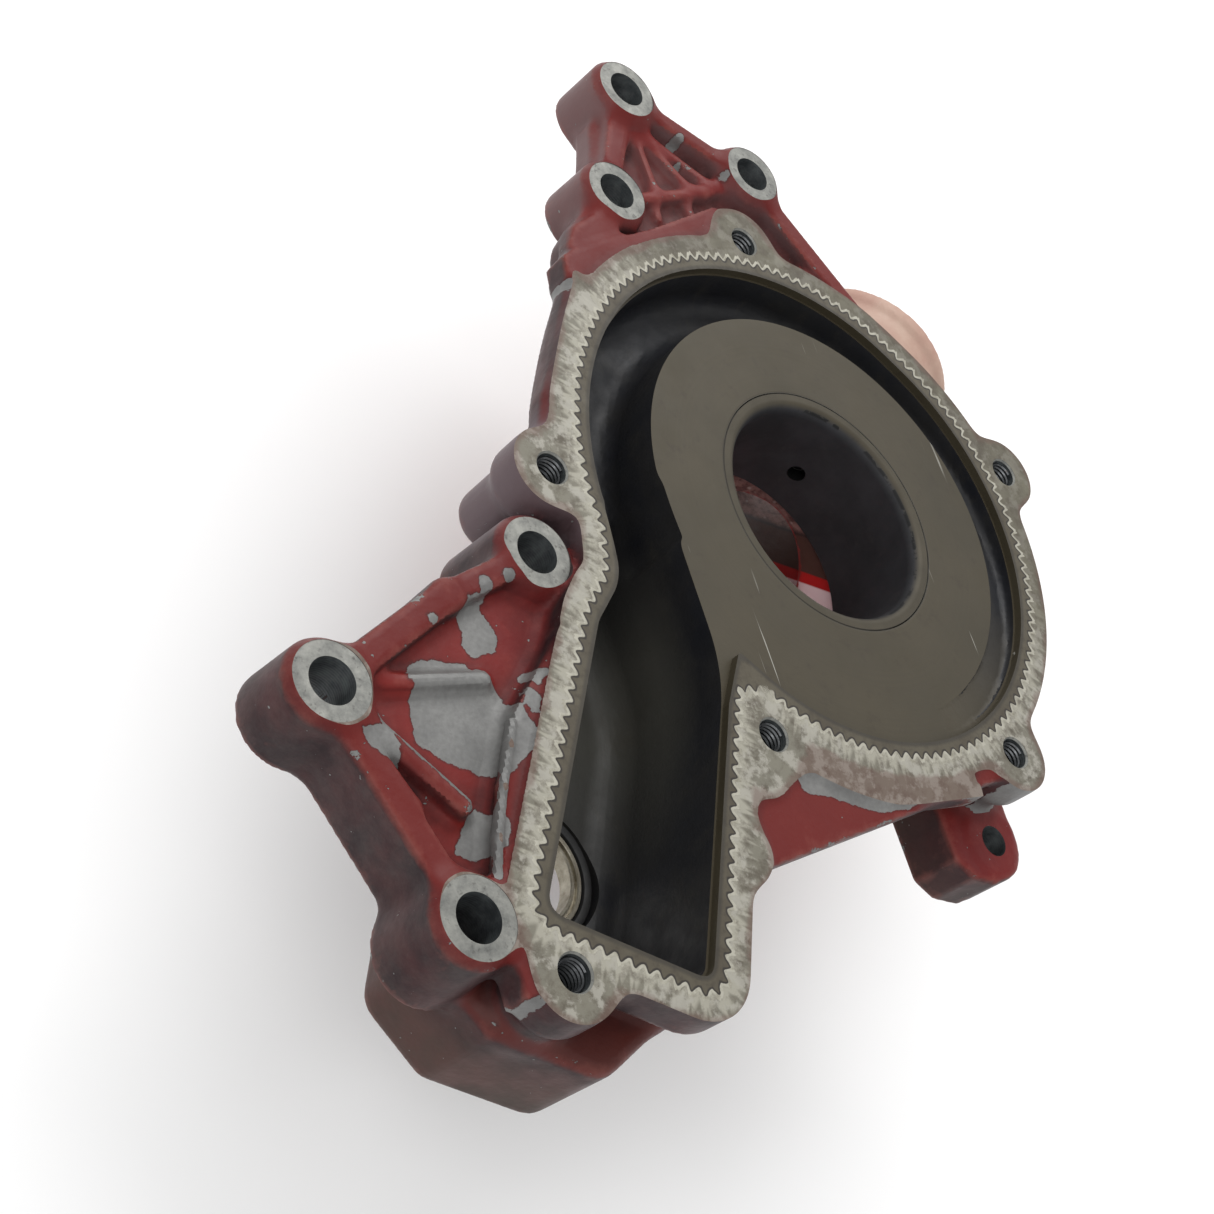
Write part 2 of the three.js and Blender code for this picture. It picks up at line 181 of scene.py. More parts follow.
def opening_outline(grow=0.0, tongue=BLUNT_TONGUE, arc_steps=110):
    """The edge of the pump chamber's opening, or a line that runs `grow` outside it."""
    angles = np.linspace(TONGUE_ANGLE, OUTLET_ANGLE, arc_steps + 1)
    arc = [polar(float(opening_radius(angle)) + grow, angle) for angle in angles]
    bends = CHAMBER_CORNERS + tongue
    ends = [polar(float(opening_radius(OUTLET_ANGLE)), OUTLET_ANGLE)] + bends
    ends.append(polar(OPENING_RADIUS, TONGUE_ANGLE))
    moved = [pushed_out(ends[i], ends[i + 1], ends[i + 2], grow) for i in range(len(bends))]
    chain = [arc[-1]] + moved + [arc[0]]
    corners = []
    for i, corner in enumerate(moved):
        corners += round_corner(chain[i], corner, chain[i + 2])
    return np.array(arc + corners)


OPENING = opening_outline()
RECESS = opening_outline(0.8, POINTED_TONGUE)
CHAMBER = rounded_polygon([(-84, 10, 3), (-103, -5, 5)] + CHAMBER_CORNERS
                          + [(-75.5, -57.9, 60), (-74.8, 6, 1)])
FLANGE_SHOULDER = np.array([
    (-116, 20), (-109.5, 35), (-100.5, 49.5), (-91.8, 66), (-82.5, 82), (-70, 70), (-95, 20)])
REAR_BODY = rounded_polygon([
    (-172, -84, 12), (-195.5, -128.5, 10), (-183.5, -151, 8),
    (-150, -168, 12), (-92, -142, 16), (-110, -90, 8),
])
PRINT_LINE = opening_outline(5.4)      # middle of the wavy print that the cover's gasket left
PRINT_PITCH = 4.7
PRINT_HEIGHT = 1.05


# ---------------------------------------------------------------- solid fields
def polygon_distance(points, x, y):
    """Signed distance in the plane to a closed outline, negative inside."""
    nearest = np.full(x.shape, 1e9)
    inside = np.zeros(x.shape, dtype=bool)
    for (ax, ay), (bx, by) in zip(points, np.roll(points, -1, axis=0)):
        ex, ey = bx - ax, by - ay
        length = ex * ex + ey * ey
        if length < 1e-9:
            continue
        t = np.clip(((x - ax) * ex + (y - ay) * ey) / length, 0, 1)
        nearest = np.minimum(nearest, (x - ax - t * ex) ** 2 + (y - ay - t * ey) ** 2)
        crosses = (ay > y) != (by > y)
        if ay != by:
            inside ^= crosses & (x < ex * (y - ay) / ey + ax)
    distance = np.sqrt(nearest)
    return np.where(inside, -distance, distance)


def along_outline(points, x, y):
    """How far along a closed outline its nearest point lies, and the outline's whole length."""
    nearest = np.full(x.shape, 1e9)
    along = np.zeros(x.shape)
    walked = 0.0
    for (ax, ay), (bx, by) in zip(points, np.roll(points, -1, axis=0)):
        ex, ey = bx - ax, by - ay
        length = math.hypot(ex, ey)
        if length < 1e-4:
            continue
        t = np.clip(((x - ax) * ex + (y - ay) * ey) / length ** 2, 0, 1)
        square = (x - ax - t * ex) ** 2 + (y - ay - t * ey) ** 2
        closer = square < nearest
        nearest = np.where(closer, square, nearest)
        along = np.where(closer, walked + t * length, along)
        walked += length
    return along, walked


def disc_distance(cx, cy, radius, x, y):
    return np.hypot(x - cx, y - cy) - radius


def bar_distance(start, end, half_width, x, y):
    ex, ey = end[0] - start[0], end[1] - start[1]
    t = np.clip(((x - start[0]) * ex + (y - start[1]) * ey) / (ex * ex + ey * ey), 0, 1)
    return np.hypot(x - start[0] - t * ex, y - start[1] - t * ey) - half_width


def smooth_min(a, b, blend):
    if blend <= 0:
        return np.minimum(a, b)
    h = np.maximum(blend - np.abs(a - b), 0) / blend
    return np.minimum(a, b) - h * h * blend / 4


def rounded(across, along, edge):
    """Two distances, each counted from `edge` inside its face, joined with a rounded edge."""
    outside = np.hypot(np.maximum(across, 0), np.maximum(along, 0))
    return outside + np.minimum(np.maximum(across, along), 0) - edge


def block(plan, z, top, bottom, edge):
    """A plan distance made into a solid between two heights, with rounded edges."""
    return rounded(plan + edge, np.abs(z - (top + bottom) / 2) - (top - bottom) / 2 + edge, edge)


class Casting:
    """A block of space sampled on a grid, to which shapes are added and from which they are cut."""

    def __init__(self, low, high, cell):
        self.low = np.array(low, dtype=float)
        self.cell = cell
        self.axes = [np.arange(lo, hi, cell) for lo, hi in zip(low, high)]
        self.field = np.full([len(axis) for axis in self.axes], 30.0, dtype=np.float32)

    def window(self, low, high):
        spans = []
        for axis, lo, hi in zip(self.axes, low, high):
            first, last = np.searchsorted(axis, [lo, hi])
            spans.append(slice(max(int(first) - 1, 0), int(last) + 1))
        x, y, z = [axis[span] for axis, span in zip(self.axes, spans)]
        return tuple(spans), x[:, None], y[None, :], z

    def add(self, shape, low, high, blend=4.0, cut=False):
        margin = 12.0
        spans, x, y, z = self.window(np.array(low) - margin, np.array(high) + margin)
        plan_x, plan_y = np.broadcast_arrays(x, y)
        for k, height in enumerate(z):
            layer = (spans[0], spans[1], spans[2].start + k)
            value = shape(plan_x, plan_y, height)
            here = self.field[layer]
            if cut:
                self.field[layer] = -smooth_min(-here, value, blend)
            else:
                self.field[layer] = smooth_min(here, value, blend)

    def mesh(self, name):
        grid = openvdb.FloatGrid(30.0)
        grid.copyFromArray(self.field)
        points, quads = grid.convertToQuads(0.0)
        points = np.asarray(points) * self.cell + self.low
        return new_mesh(name, place(points), np.asarray(quads).tolist())

    def roundness(self, points, reach):
        """How far the surface bulges (above 0) or caves in (below 0) over a reach in cells."""
        spread = self.field
        for axis in range(3):
            padded = np.concatenate([
                np.repeat(spread.take([0], axis), reach + 1, axis), spread,
                np.repeat(spread.take([-1], axis), reach, axis)], axis)
            total = np.cumsum(padded, axis, dtype=np.float64)
            size = spread.shape[axis]
            upper = total.take(range(2 * reach + 1, 2 * reach + 1 + size), axis)
            spread = (upper - total.take(range(size), axis)) / (2 * reach + 1)
        return self.sample(spread - self.field, points)

    def sample(self, values, points):
        """Values of the grid at points between its samples."""
        at = (points - self.low) / self.cell
        first = np.clip(np.floor(at).astype(int), 0, np.array(values.shape) - 2)
        part = np.clip(at - first, 0, 1)
        total = np.zeros(len(points))
        for step in np.ndindex(2, 2, 2):
            corner = first + step
            share = np.prod(np.where(step, part, 1 - part), axis=1)
            total += share * values[corner[:, 0], corner[:, 1], corner[:, 2]]
        return total


def new_mesh(name, points, faces):
    data = bpy.data.meshes.new(name)
    data.from_pydata(np.asarray(points).tolist(), [], faces)
    data.update()
    piece = bpy.data.objects.new(name, data)
    bpy.context.scene.collection.objects.link(piece)
    return piece


def read_vectors(items, name):
    """One row of three numbers for each vertex or face of a mesh."""
    values = np.empty(len(items) * 3)
    items.foreach_get(name, values)
    return values.reshape(-1, 3)


def to_working(places):
    """The inverse of place()."""
    return (places - np.array(ORIGIN)) / MM


# ---------------------------------------------------------------- the red casting
def angle_from_start(x, y):
    """Angle round the eye in degrees, counted on from the start of the channel."""
    return np.mod(np.degrees(np.arctan2(y, x)) - CHANNEL_START, 360.0) + CHANNEL_START


def flange_plan(x, y):
    plan = polygon_distance(OPENING, x, y) - FLANGE_WIDTH
    for cx, cy in COVER_HOLES:
        plan = smooth_min(plan, disc_distance(cx, cy, 13.2, x, y), 9)
    plan = smooth_min(plan, polygon_distance(FLANGE_SHOULDER, x, y), 6)
    plan = smooth_min(plan, disc_distance(-76, -92, 8, x, y), 8)
    return smooth_min(plan, disc_distance(-94, -117, 8.5, x, y), 8)


def volute_body(x, y, z):
    angle = angle_from_start(x, y)
    radius = np.hypot(x, y)
    bottom = np.where(angle < OUTLET_ANGLE + 4, channel_depth(angle) + WALL, 9.5)
    across = radius - (opening_radius(angle) + WALL)
    return block(across, z, 2.0, -bottom, np.minimum(14.0, bottom / 2))


def skirt(x, y, z):
    radius = np.hypot(x, y)
    angle = np.degrees(np.arctan2(y, x))
    plan = np.abs(radius - 89.3) - 3.4
    ends = np.maximum(TONGUE_ANGLE - angle, angle + 36) * math.radians(1) * 89
    return block(np.maximum(plan, ends), z, -5, -50, 1.5)


def channel_hollow(x, y, z):
    angle = angle_from_start(x, y)
    radius = np.hypot(x, y)
    outer = opening_radius(angle)
    across = np.abs(radius - (outer + CHANNEL_INNER) / 2) - (outer - CHANNEL_INNER) / 2
    past_end = (angle - OUTLET_ANGLE - 3) * math.radians(1) * 88
    depth = channel_depth(angle)
    edge = np.minimum(7.0, depth / 3)
    plan = np.maximum(across, np.where(angle > 240, 30.0, past_end)) + edge
    return rounded(plan, -depth - z + edge, edge)


def prism(plan, top, bottom, edge=1.5):
    return lambda x, y, z: block(plan(x, y), z, top, bottom, edge)


def disc(cx, cy, radius):
    return lambda x, y: disc_distance(cx, cy, radius, x, y)


def bar(start, end, width):
    return lambda x, y: bar_distance(start, end, width / 2, x, y)


def outline(points, grow=0.0):
    return lambda x, y: polygon_distance(points, x, y) - grow


def centre(name):
    return BOSSES[name][:2]


def boss_shape(x0, y0, top, depth):
    def shape(x, y, z):
        taper = np.interp(z, [-depth, top - 2.5, top + 1.0], [14.85, 13.6, 11.2])
        return block(np.hypot(x - x0, y - y0) - taper, z, top + 1.2, -depth, 1.5)
    return shape


def add_plan(cast, plan, top, bottom, low, high, blend=4.0, edge=1.5, cut=False):
    cast.add(prism(plan, top, bottom, edge), (*low, bottom), (*high, top), blend, cut)


def add_wall(cast, start, end, width, top, bottom, blend=4.0):
    low = [min(a, b) - width for a, b in zip(start, end)]
    high = [max(a, b) + width for a, b in zip(start, end)]
    add_plan(cast, bar(start, end, width), top, bottom, low, high, blend, edge=min(1.8, width / 3))


def add_brackets(cast):
    top_web = np.array([(-52, 122), (-40, 158), (-20, 165), (22, 144), (52, 88), (-80, 74), (-74, 100)])
    add_plan(cast, outline(top_web, -1), -10.5, -19.5, (-80, 74), (52, 166), 5)
    left_web = np.array([
        (-134, -22), (-170, -38), (-212, -56), (-208, -90), (-196, -122), (-170, -118), (-128, -45)])
    add_plan(cast, outline(left_web, -1), -8.5, -18.5, (-212, -122), (-128, -22), 5)
    rims = [
        ("A", "C", 7.5, -2.5, -22), ("A", "B", 8.5, -4, -23), ("D", "F", 9.5, -2, -27),
    ]
    for first, second, width, top, bottom in rims:
        add_wall(cast, centre(first), centre(second), width, top, bottom, 5)
    walls = [
        (centre("B"), (-69, 99), 11, -5.2, -16), (centre("C"), (57, 84), 9, -2.5, -24),
        (centre("B"), (2, 132), 4.5, -6, -18), ((2, 132), centre("C"), 4.5, -6, -18),
        (centre("E"), (-171, -33), 8.5, -2.5, -30), ((-171, -33), centre("D"), 9.5, -1.5, -24),
        ((-207, -70), (-186, -94), 6, -2.5, -18), ((-214, -75), (-201, -93), 4.5, -3.5, -18),
        ((-198, -57), (-164, -57), 4, -5.5, -18), ((15, 119), (41, 99), 3.5, -6.5, -18),
    ]
    for start, end, width, top, bottom in walls:
        add_wall(cast, start, end, width, top, bottom, 4)
    for foot in [(-38, 139), (-22, 131), (-4, 133), (7, 137)]:
        add_wall(cast, (-22, 157), foot, 3.2, -6.5, -18, 4)
    for foot in [(-24, 118), (-7, 122)]:
        add_wall(cast, (foot[0] + 1, foot[1] + 9), foot, 3, -8, -18, 3)


# Flat stretches beside the flange: outline, top, bottom, blend into the neighbours, edge radius.
SIDE_LANDS = [
    ([(-80, -88), (-97, -123), (-86, -121.7), (-81, -120.8), (3, -106.1), (44, -99), (30, -88)],
     -0.8, -7.0, 2.5, 1.5),
    ([(-86, 80), (-84, 90), (-62, 98.5), (-40, 106), (-3, 121), (9, 116), (0, 95), (-60, 76)],
     -0.7, -11.6, 3, 1.2),
    ([(-121, -32), (-137, -45.5), (-161, -69), (-169, -83), (-175, -94), (-183, -114), (-186, -148),
      (-172, -150), (-160, -110), (-128, -50), (-114, -34)], -1.4, -12.4, 2.5, 1.2),
    ([(-119, 22), (-112, 36), (-102.5, 49), (-93.5, 66), (-84, 82.5), (-78, 97), (-73, 104), (-55, 114),
      (-50, 95), (-80, 62), (-100, 20)], -1.8, -9.2, 3, 2.0),
]
# A groove and a raised line in the land beside the left bracket.
SEAM = [(-137.5, -43), (-143, -47.5), (-152.5, -55.5), (-162, -68)]
BEAD = [(-163.4, -72), (-167, -79), (-173.5, -91), (-180, -105), (-184, -115)]


LUG_TAB = np.array([
    (23.5, -84), (23.5, -119.5), (29.5, -126.5), (40, -129.5), (52, -125.5), (58, -112), (59.5, -74)])


def red_casting():
    cast = Casting((-240, -182, -66), (124, 190, 6), 1.2)
    whole_low, whole_high = (-185, -166), (118, 122)
    add_plan(cast, flange_plan, 3, -FLANGE_THICKNESS, whole_low, whole_high, 3, edge=2)
    cast.add(volute_body, (-110, -94, -62), (94, 96, 2), 5)
    cast.add(skirt, (-94, -94, -50), (76, -50, -5), 4)
    add_plan(cast, outline(CHAMBER, WALL), 2, -BODY_DEPTH, (-180, -160), (-66, 18), 6, edge=5)
    add_plan(cast, outline(REAR_BODY, -0.15), -22, -BODY_DEPTH + 0.5, (-196, -170), (-90, -80), 6, edge=3.5)
    add_plan(cast, disc(0, 0, HUB_RADIUS), 0, -HUB_DEPTH, (-70, -70), (70, 70), 4, edge=2)
    for angle in (-118, -95, -70, -45, -20):
        add_wall(cast, polar(60, angle), polar(88, angle), 5, -9, -44, 5)
    for (x, y), depth in zip(COVER_HOLES, COVER_BOSS_DEPTHS):
        add_plan(cast, disc(x, y, 11.2), 1, -depth, (x - 12, y - 12), (x + 12, y + 12), 7, edge=4)
    for points, top, bottom, blend, edge in SIDE_LANDS:
        corners = np.array(points)
        add_plan(cast, outline(corners), top, bottom, corners.min(axis=0), corners.max(axis=0), blend, edge)
    add_brackets(cast)
    for x, y, top, depth in BOSSES.values():
        cast.add(boss_shape(x, y, top, depth), (x - 15, y - 15, -depth), (x + 15, y + 15, top), 5)
    x, y, top, depth = LUG
    add_plan(cast, outline(LUG_TAB), top + 0.4, -depth, (22, -130), (60, -70), 6, edge=1.8)
    add_plan(cast, disc(x, y, 13.4), top + 0.4, -depth, (x - 14, y - 14), (x + 14, y + 14), 2, edge=1.8)
    start, end = polar(62, PASSAGE_ANGLE), polar(94, PASSAGE_ANGLE)
    add_plan(cast, bar(start, end, 14), PASSAGE_Z + 7, PASSAGE_Z - 7.3, (30, 40), (68, 80), 5, edge=6.5)
    for start, end in zip(SEAM, SEAM[1:]):
        low, high = np.minimum(start, end), np.maximum(start, end)
        add_plan(cast, bar(start, end, 2.2), 9, -3.4, low, high, 1.0, 1.0, cut=True)
    for start, end in zip(BEAD, BEAD[1:]):
        add_wall(cast, start, end, 2.4, -0.1, -4, 1.2)
    cast.add(channel_hollow, (-106, -88, -60), (90, 94, 6), 3, cut=True)
    cast.add(lambda x, y, z: block(polygon_distance(CHAMBER, x, y), z, 40, -CHAMBER_DEPTH, 11),
             (-172, -151, -56), (-75, 9, 6), 6, cut=True)
    return cast


# ---------------------------------------------------------------- machining
def lathe(profile, sides, name, at=(0, 0), closed=True):
    """A profile of (radius, z) turned round a vertical axis: closed, or open with flat end caps."""
    points, faces = [], []
    count = len(profile)
    for i in range(sides):
        for radius, z in profile:
            x, y = polar(radius, 360 * i / sides)
            points.append((x + at[0], y + at[1], z))
    for i in range(sides):
        here, there = i * count, (i + 1) % sides * count
        for j in range(count if closed else count - 1):
            k = (j + 1) % count
            faces.append((here + j, there + j, there + k, here + k))
    if not closed:
        faces.append([i * count for i in range(sides)][::-1])
        faces.append([i * count + count - 1 for i in range(sides)])
    return new_mesh(name, place(points), faces)


def plug(x, y, radius, top, bottom, sides=48):
    return lathe([(radius, bottom), (radius, top)], sides, "cutter", (x, y), closed=False)


def capped(low, high):
    """A cutter whose sides join two rings of the same number of points."""
    count = len(low)
    faces = [(i, (i + 1) % count, count + (i + 1) % count, count + i) for i in range(count)]
    faces.append(tuple(range(count))[::-1])
    faces.append(tuple(range(count, 2 * count)))
    return new_mesh("cutter", place(low + high), faces)


def extrude(points, top, bottom):
    return capped([(x, y, bottom) for x, y in points], [(x, y, top) for x, y in points])


def carve(piece, cutters):
    """Cuts all the cutters out of the piece, then deletes them."""
    tools = bpy.data.collections.new("cutters")
    bpy.context.scene.collection.children.link(tools)
    for cutter in cutters:
        bpy.context.scene.collection.objects.unlink(cutter)
        tools.objects.link(cutter)
    modifier = piece.modifiers.new("carve", "BOOLEAN")
    modifier.operation = "DIFFERENCE"
    modifier.operand_type = "COLLECTION"
    modifier.collection = tools
    modifier.solver = "MANIFOLD"
    apply_modifiers(piece)
    for cutter in cutters:
        bpy.data.objects.remove(cutter)
    bpy.data.collections.remove(tools)


def apply_modifiers(piece):
    graph = bpy.context.evaluated_depsgraph_get()
    data = bpy.data.meshes.new_from_object(piece.evaluated_get(graph))
    old = piece.data
    piece.modifiers.clear()
    piece.data = data
    data.materials.clear()
    bpy.data.meshes.remove(old)


def flange_cutter(pitch=2.5):
    """A block above the flange plane, its underside a fine grid that the machined face inherits."""
    xs = np.arange(-240, 126, pitch)
    ys = np.arange(-182, 190, pitch)
    low = [(x, y, FLANGE_FACE) for x in xs for y in ys]
    high = [(x, y, 12) for x in (xs[0], xs[-1]) for y in (ys[0], ys[-1])]
    count = len(ys)
    faces = []
    for i in range(len(xs) - 1):
        for j in range(count - 1):
            corner = i * count + j
            faces.append((corner, corner + 1, corner + count + 1, corner + count))
    top = len(low)
    last = (len(xs) - 1) * count
    near_y = [i * count for i in range(len(xs))]
    far_y = [i * count + count - 1 for i in range(len(xs))]
    near_x = list(range(count))
    far_x = list(range(last, last + count))
    faces.append((top, top + 2, top + 3, top + 1))
    faces.append(near_y + [top + 2, top])
    faces.append(far_y[::-1] + [top + 1, top + 3])
    faces.append(near_x[::-1] + [top, top + 1])
    faces.append(far_x + [top + 3, top + 2])
    return new_mesh("cutter", place(low + high), faces)


def tilted_rod(start, direction, radius, first, last, sides=40):
    """A rod along a direction through the start point, from `first` to `last` millimetres along it."""
    along = Vector(direction).normalized()
    side = along.orthogonal().normalized()
    other = along.cross(side)
    turns = [2 * math.pi * i / sides for i in range(sides)]
    rings = []
    for reach in (first, last):
        middle = Vector(start) + along * reach
        rings.append([tuple(middle + (side * math.cos(turn) + other * math.sin(turn)) * radius)
                      for turn in turns])
    return capped(*rings)


def passage_rod(radius, first, last, sides=40):
    """A rod along the drilled passage, which starts on the eye's axis."""
    return tilted_rod(PASSAGE_START, (*polar(1, PASSAGE_ANGLE), 0), radius, first, last, sides)


def housing_cutters():
    cutters = [flange_cutter(), extrude(RECESS, 8, -DISC_STEP)]
    cutters.append(plug(0, 0, EYE_RING_OUTER + 0.3, 9, -70, sides=128))
    cutters.append(plug(0, 0, 67.5, -HUB_DEPTH, -72, sides=128))
    for angle in BOLT_ANGLES:
        x, y = polar(BOLT_CIRCLE, angle)
        cutters.append(plug(x, y, 4.3, -29, -60))
    for name, (x, y, top, depth) in BOSSES.items():
        cutters.append(plug(x, y, PAD_RADIUS, top + 6, top - 0.05, sides=64))
        bottom = BLIND_HOLE_BOTTOM if name == "F" else -depth - 40
        cutters.append(plug(x, y, MOUNT_HOLE, 7, bottom, sides=64))
    x, y, top, depth = LUG
    cutters.append(plug(x, y, LUG_HOLE, 0, -depth - 3))
    wall, mouth = COVER_THREAD_HOLE, COVER_THREAD_HOLE + 0.5
    for spot in COVER_HOLES:
        profile = [(wall, -24), (wall, -0.7), (mouth, -0.1), (mouth, 1)]
        cutters.append(lathe(profile, 48, "cutter", spot, closed=False))
    cutters.append(plug(*PORT, 23, -42, -58.5, sides=96))
    cutters.append(plug(*PORT, 17.5, -58, -64, sides=96))
    cutters.append(passage_rod(PASSAGE_RADIUS, 30, 92))
    cutters.append(passage_rod(PASSAGE_THREAD_RADIUS, 89, 110))
    return cutters


# ---------------------------------------------------------------- materials
X, Y, Z = range(3)


def linear(red, green, blue):
    """Screen values 0..255 to the renderer's linear colour."""
    values = []
    for level in (red, green, blue):
        share = level / 255
        values.append(share / 12.92 if share <= 0.04045 else ((share + 0.055) / 1.055) ** 2.4)
    return (*values, 1.0)


class Value:
    """A number that a material has at each point. Arithmetic on it adds nodes to the material."""

    def __init__(self, surface, socket):
        self.surface = surface
        self.socket = socket

    def __add__(self, other):
        return self.surface.math("ADD", self, other)

    def __sub__(self, other):
        return self.surface.math("SUBTRACT", self, other)

    def __rsub__(self, other):
        return self.surface.math("SUBTRACT", other, self)

    def __mul__(self, other):
        return self.surface.math("MULTIPLY", self, other)

    def __truediv__(self, other):
        return self.surface.math("DIVIDE", self, other)

    def most(self, other):
        return self.surface.math("MAXIMUM", self, other)

    def apply(self, operation):
        return self.surface.math(operation, self)

    def step(self, low, high, start=0.0, end=1.0):
        """`start` where the value is `low`, `end` where it is `high`, and even between them."""
        return self.surface.value("ShaderNodeMapRange", {
            "Value": self, "From Min": low, "From Max": high, "To Min": start, "To Max": end})


class Surface:
    """A node material put together from a few patterns measured in millimetres."""

    def __init__(self, name):
        self.material = bpy.data.materials.new(name)
        self.material.use_nodes = True
        self.tree = self.material.node_tree
        self.shader = self.tree.nodes["Principled BSDF"]
        self.spot = self.tree.nodes.new("ShaderNodeTexCoord").outputs["Object"]

    def put(self, socket, value):
        """Links the input to a value's node, or writes a plain number or colour in it."""
        if isinstance(value, Value):
            value = value.socket
        if isinstance(value, bpy.types.NodeSocket):
            self.tree.links.new(value, socket)
        else:
            socket.default_value = value

    def node(self, kind, inputs=(), **settings):
        node = self.tree.nodes.new(kind)
        for key, value in settings.items():
            setattr(node, key, value)
        for key, value in dict(inputs).items():
            self.put(node.inputs[key], value)
        return node

    def value(self, kind, inputs=(), output=0, **settings):
        return Value(self, self.node(kind, inputs, **settings).outputs[output])

    def math(self, operation, a, b=0.0):
        return self.value("ShaderNodeMath", {0: a, 1: b}, operation=operation)

    def noise(self, size, detail=4.0, rough=0.6, stretch=(1, 1, 1), shift=0.0):
        spot = self.value("ShaderNodeMapping", {
            "Vector": self.spot, "Scale": stretch, "Location": (shift, shift * 0.7, -shift)})
        return self.value("ShaderNodeTexNoise", {
            "Vector": spot, "Scale": 1 / (size * MM), "Detail": detail, "Roughness": rough}, "Fac")

    def cells(self, size):
        return self.value("ShaderNodeTexVoronoi", {
            "Vector": self.spot, "Scale": 1 / (size * MM)}, "Distance", feature="F1")

    def mix(self, share, a, b):
        """Colour `a` where the share is 0 and `b` where it is 1. Plain colours are screen values."""
        node = self.node("ShaderNodeMix", data_type="RGBA")
        colours = [linear(*colour) if isinstance(colour, tuple) else colour for colour in (a, b)]
        for index, value in zip((0, 6, 7), [share] + colours):
            self.put(node.inputs[index], value)
        return node.outputs[2]

    def attribute(self, name):
        return self.value("ShaderNodeAttribute", output="Fac", attribute_name=name)

    def radius_from(self, x, y):
        """Distance in millimetres from a vertical axis through (x, y)."""
        axis = place((x, y, 0))
        away = self.value("ShaderNodeVectorMath", {
            0: self.spot, 1: (axis[X], axis[Y], 0)}, operation="SUBTRACT")
        flat = self.value("ShaderNodeVectorMath", {0: away, 1: (1, 1, 0)}, operation="MULTIPLY")
        return self.value("ShaderNodeVectorMath", {0: flat}, "Value", operation="LENGTH") * (1 / MM)

    def facing(self, axis):
        normal = self.value("ShaderNodeNewGeometry", output="Normal")
        return self.value("ShaderNodeSeparateXYZ", {0: normal}, axis)

    def span(self, axis, first, last, start=0.0, end=1.0):
        """A step between two places along an axis of the working frame."""
        spot = self.value("ShaderNodeSeparateXYZ", {0: self.spot}, axis)
        return spot.step(place((first,) * 3)[axis], place((last,) * 3)[axis], start, end)

    def bump(self, height, depth, under=None):
        """Relief of `depth` millimetres where height goes from 0 to 1."""
        inputs = {"Height": height, "Distance": depth * MM, "Strength": 1.0}
        if under is not None:
            inputs["Normal"] = under
        return self.node("ShaderNodeBump", inputs).outputs[0]

    def done(self, colour, roughness, normal, metallic=None, specular=None):
        for key, value in (("Base Color", colour), ("Roughness", roughness), ("Normal", normal),
                           ("Metallic", metallic), ("Specular IOR Level", specular)):
            if value is not None:
                self.put(self.shader.inputs[key], value)
        return self.material


def bare_casting_colour(surface):
    cloud = surface.noise(14, 5).step(0.3, 0.7)
    speck = surface.noise(1.6, 3).step(0.35, 0.75)
    tone = surface.mix(cloud, (106, 106, 105), (128, 128, 126))
    return surface.mix(speck * 0.35, tone, (84, 82, 81))


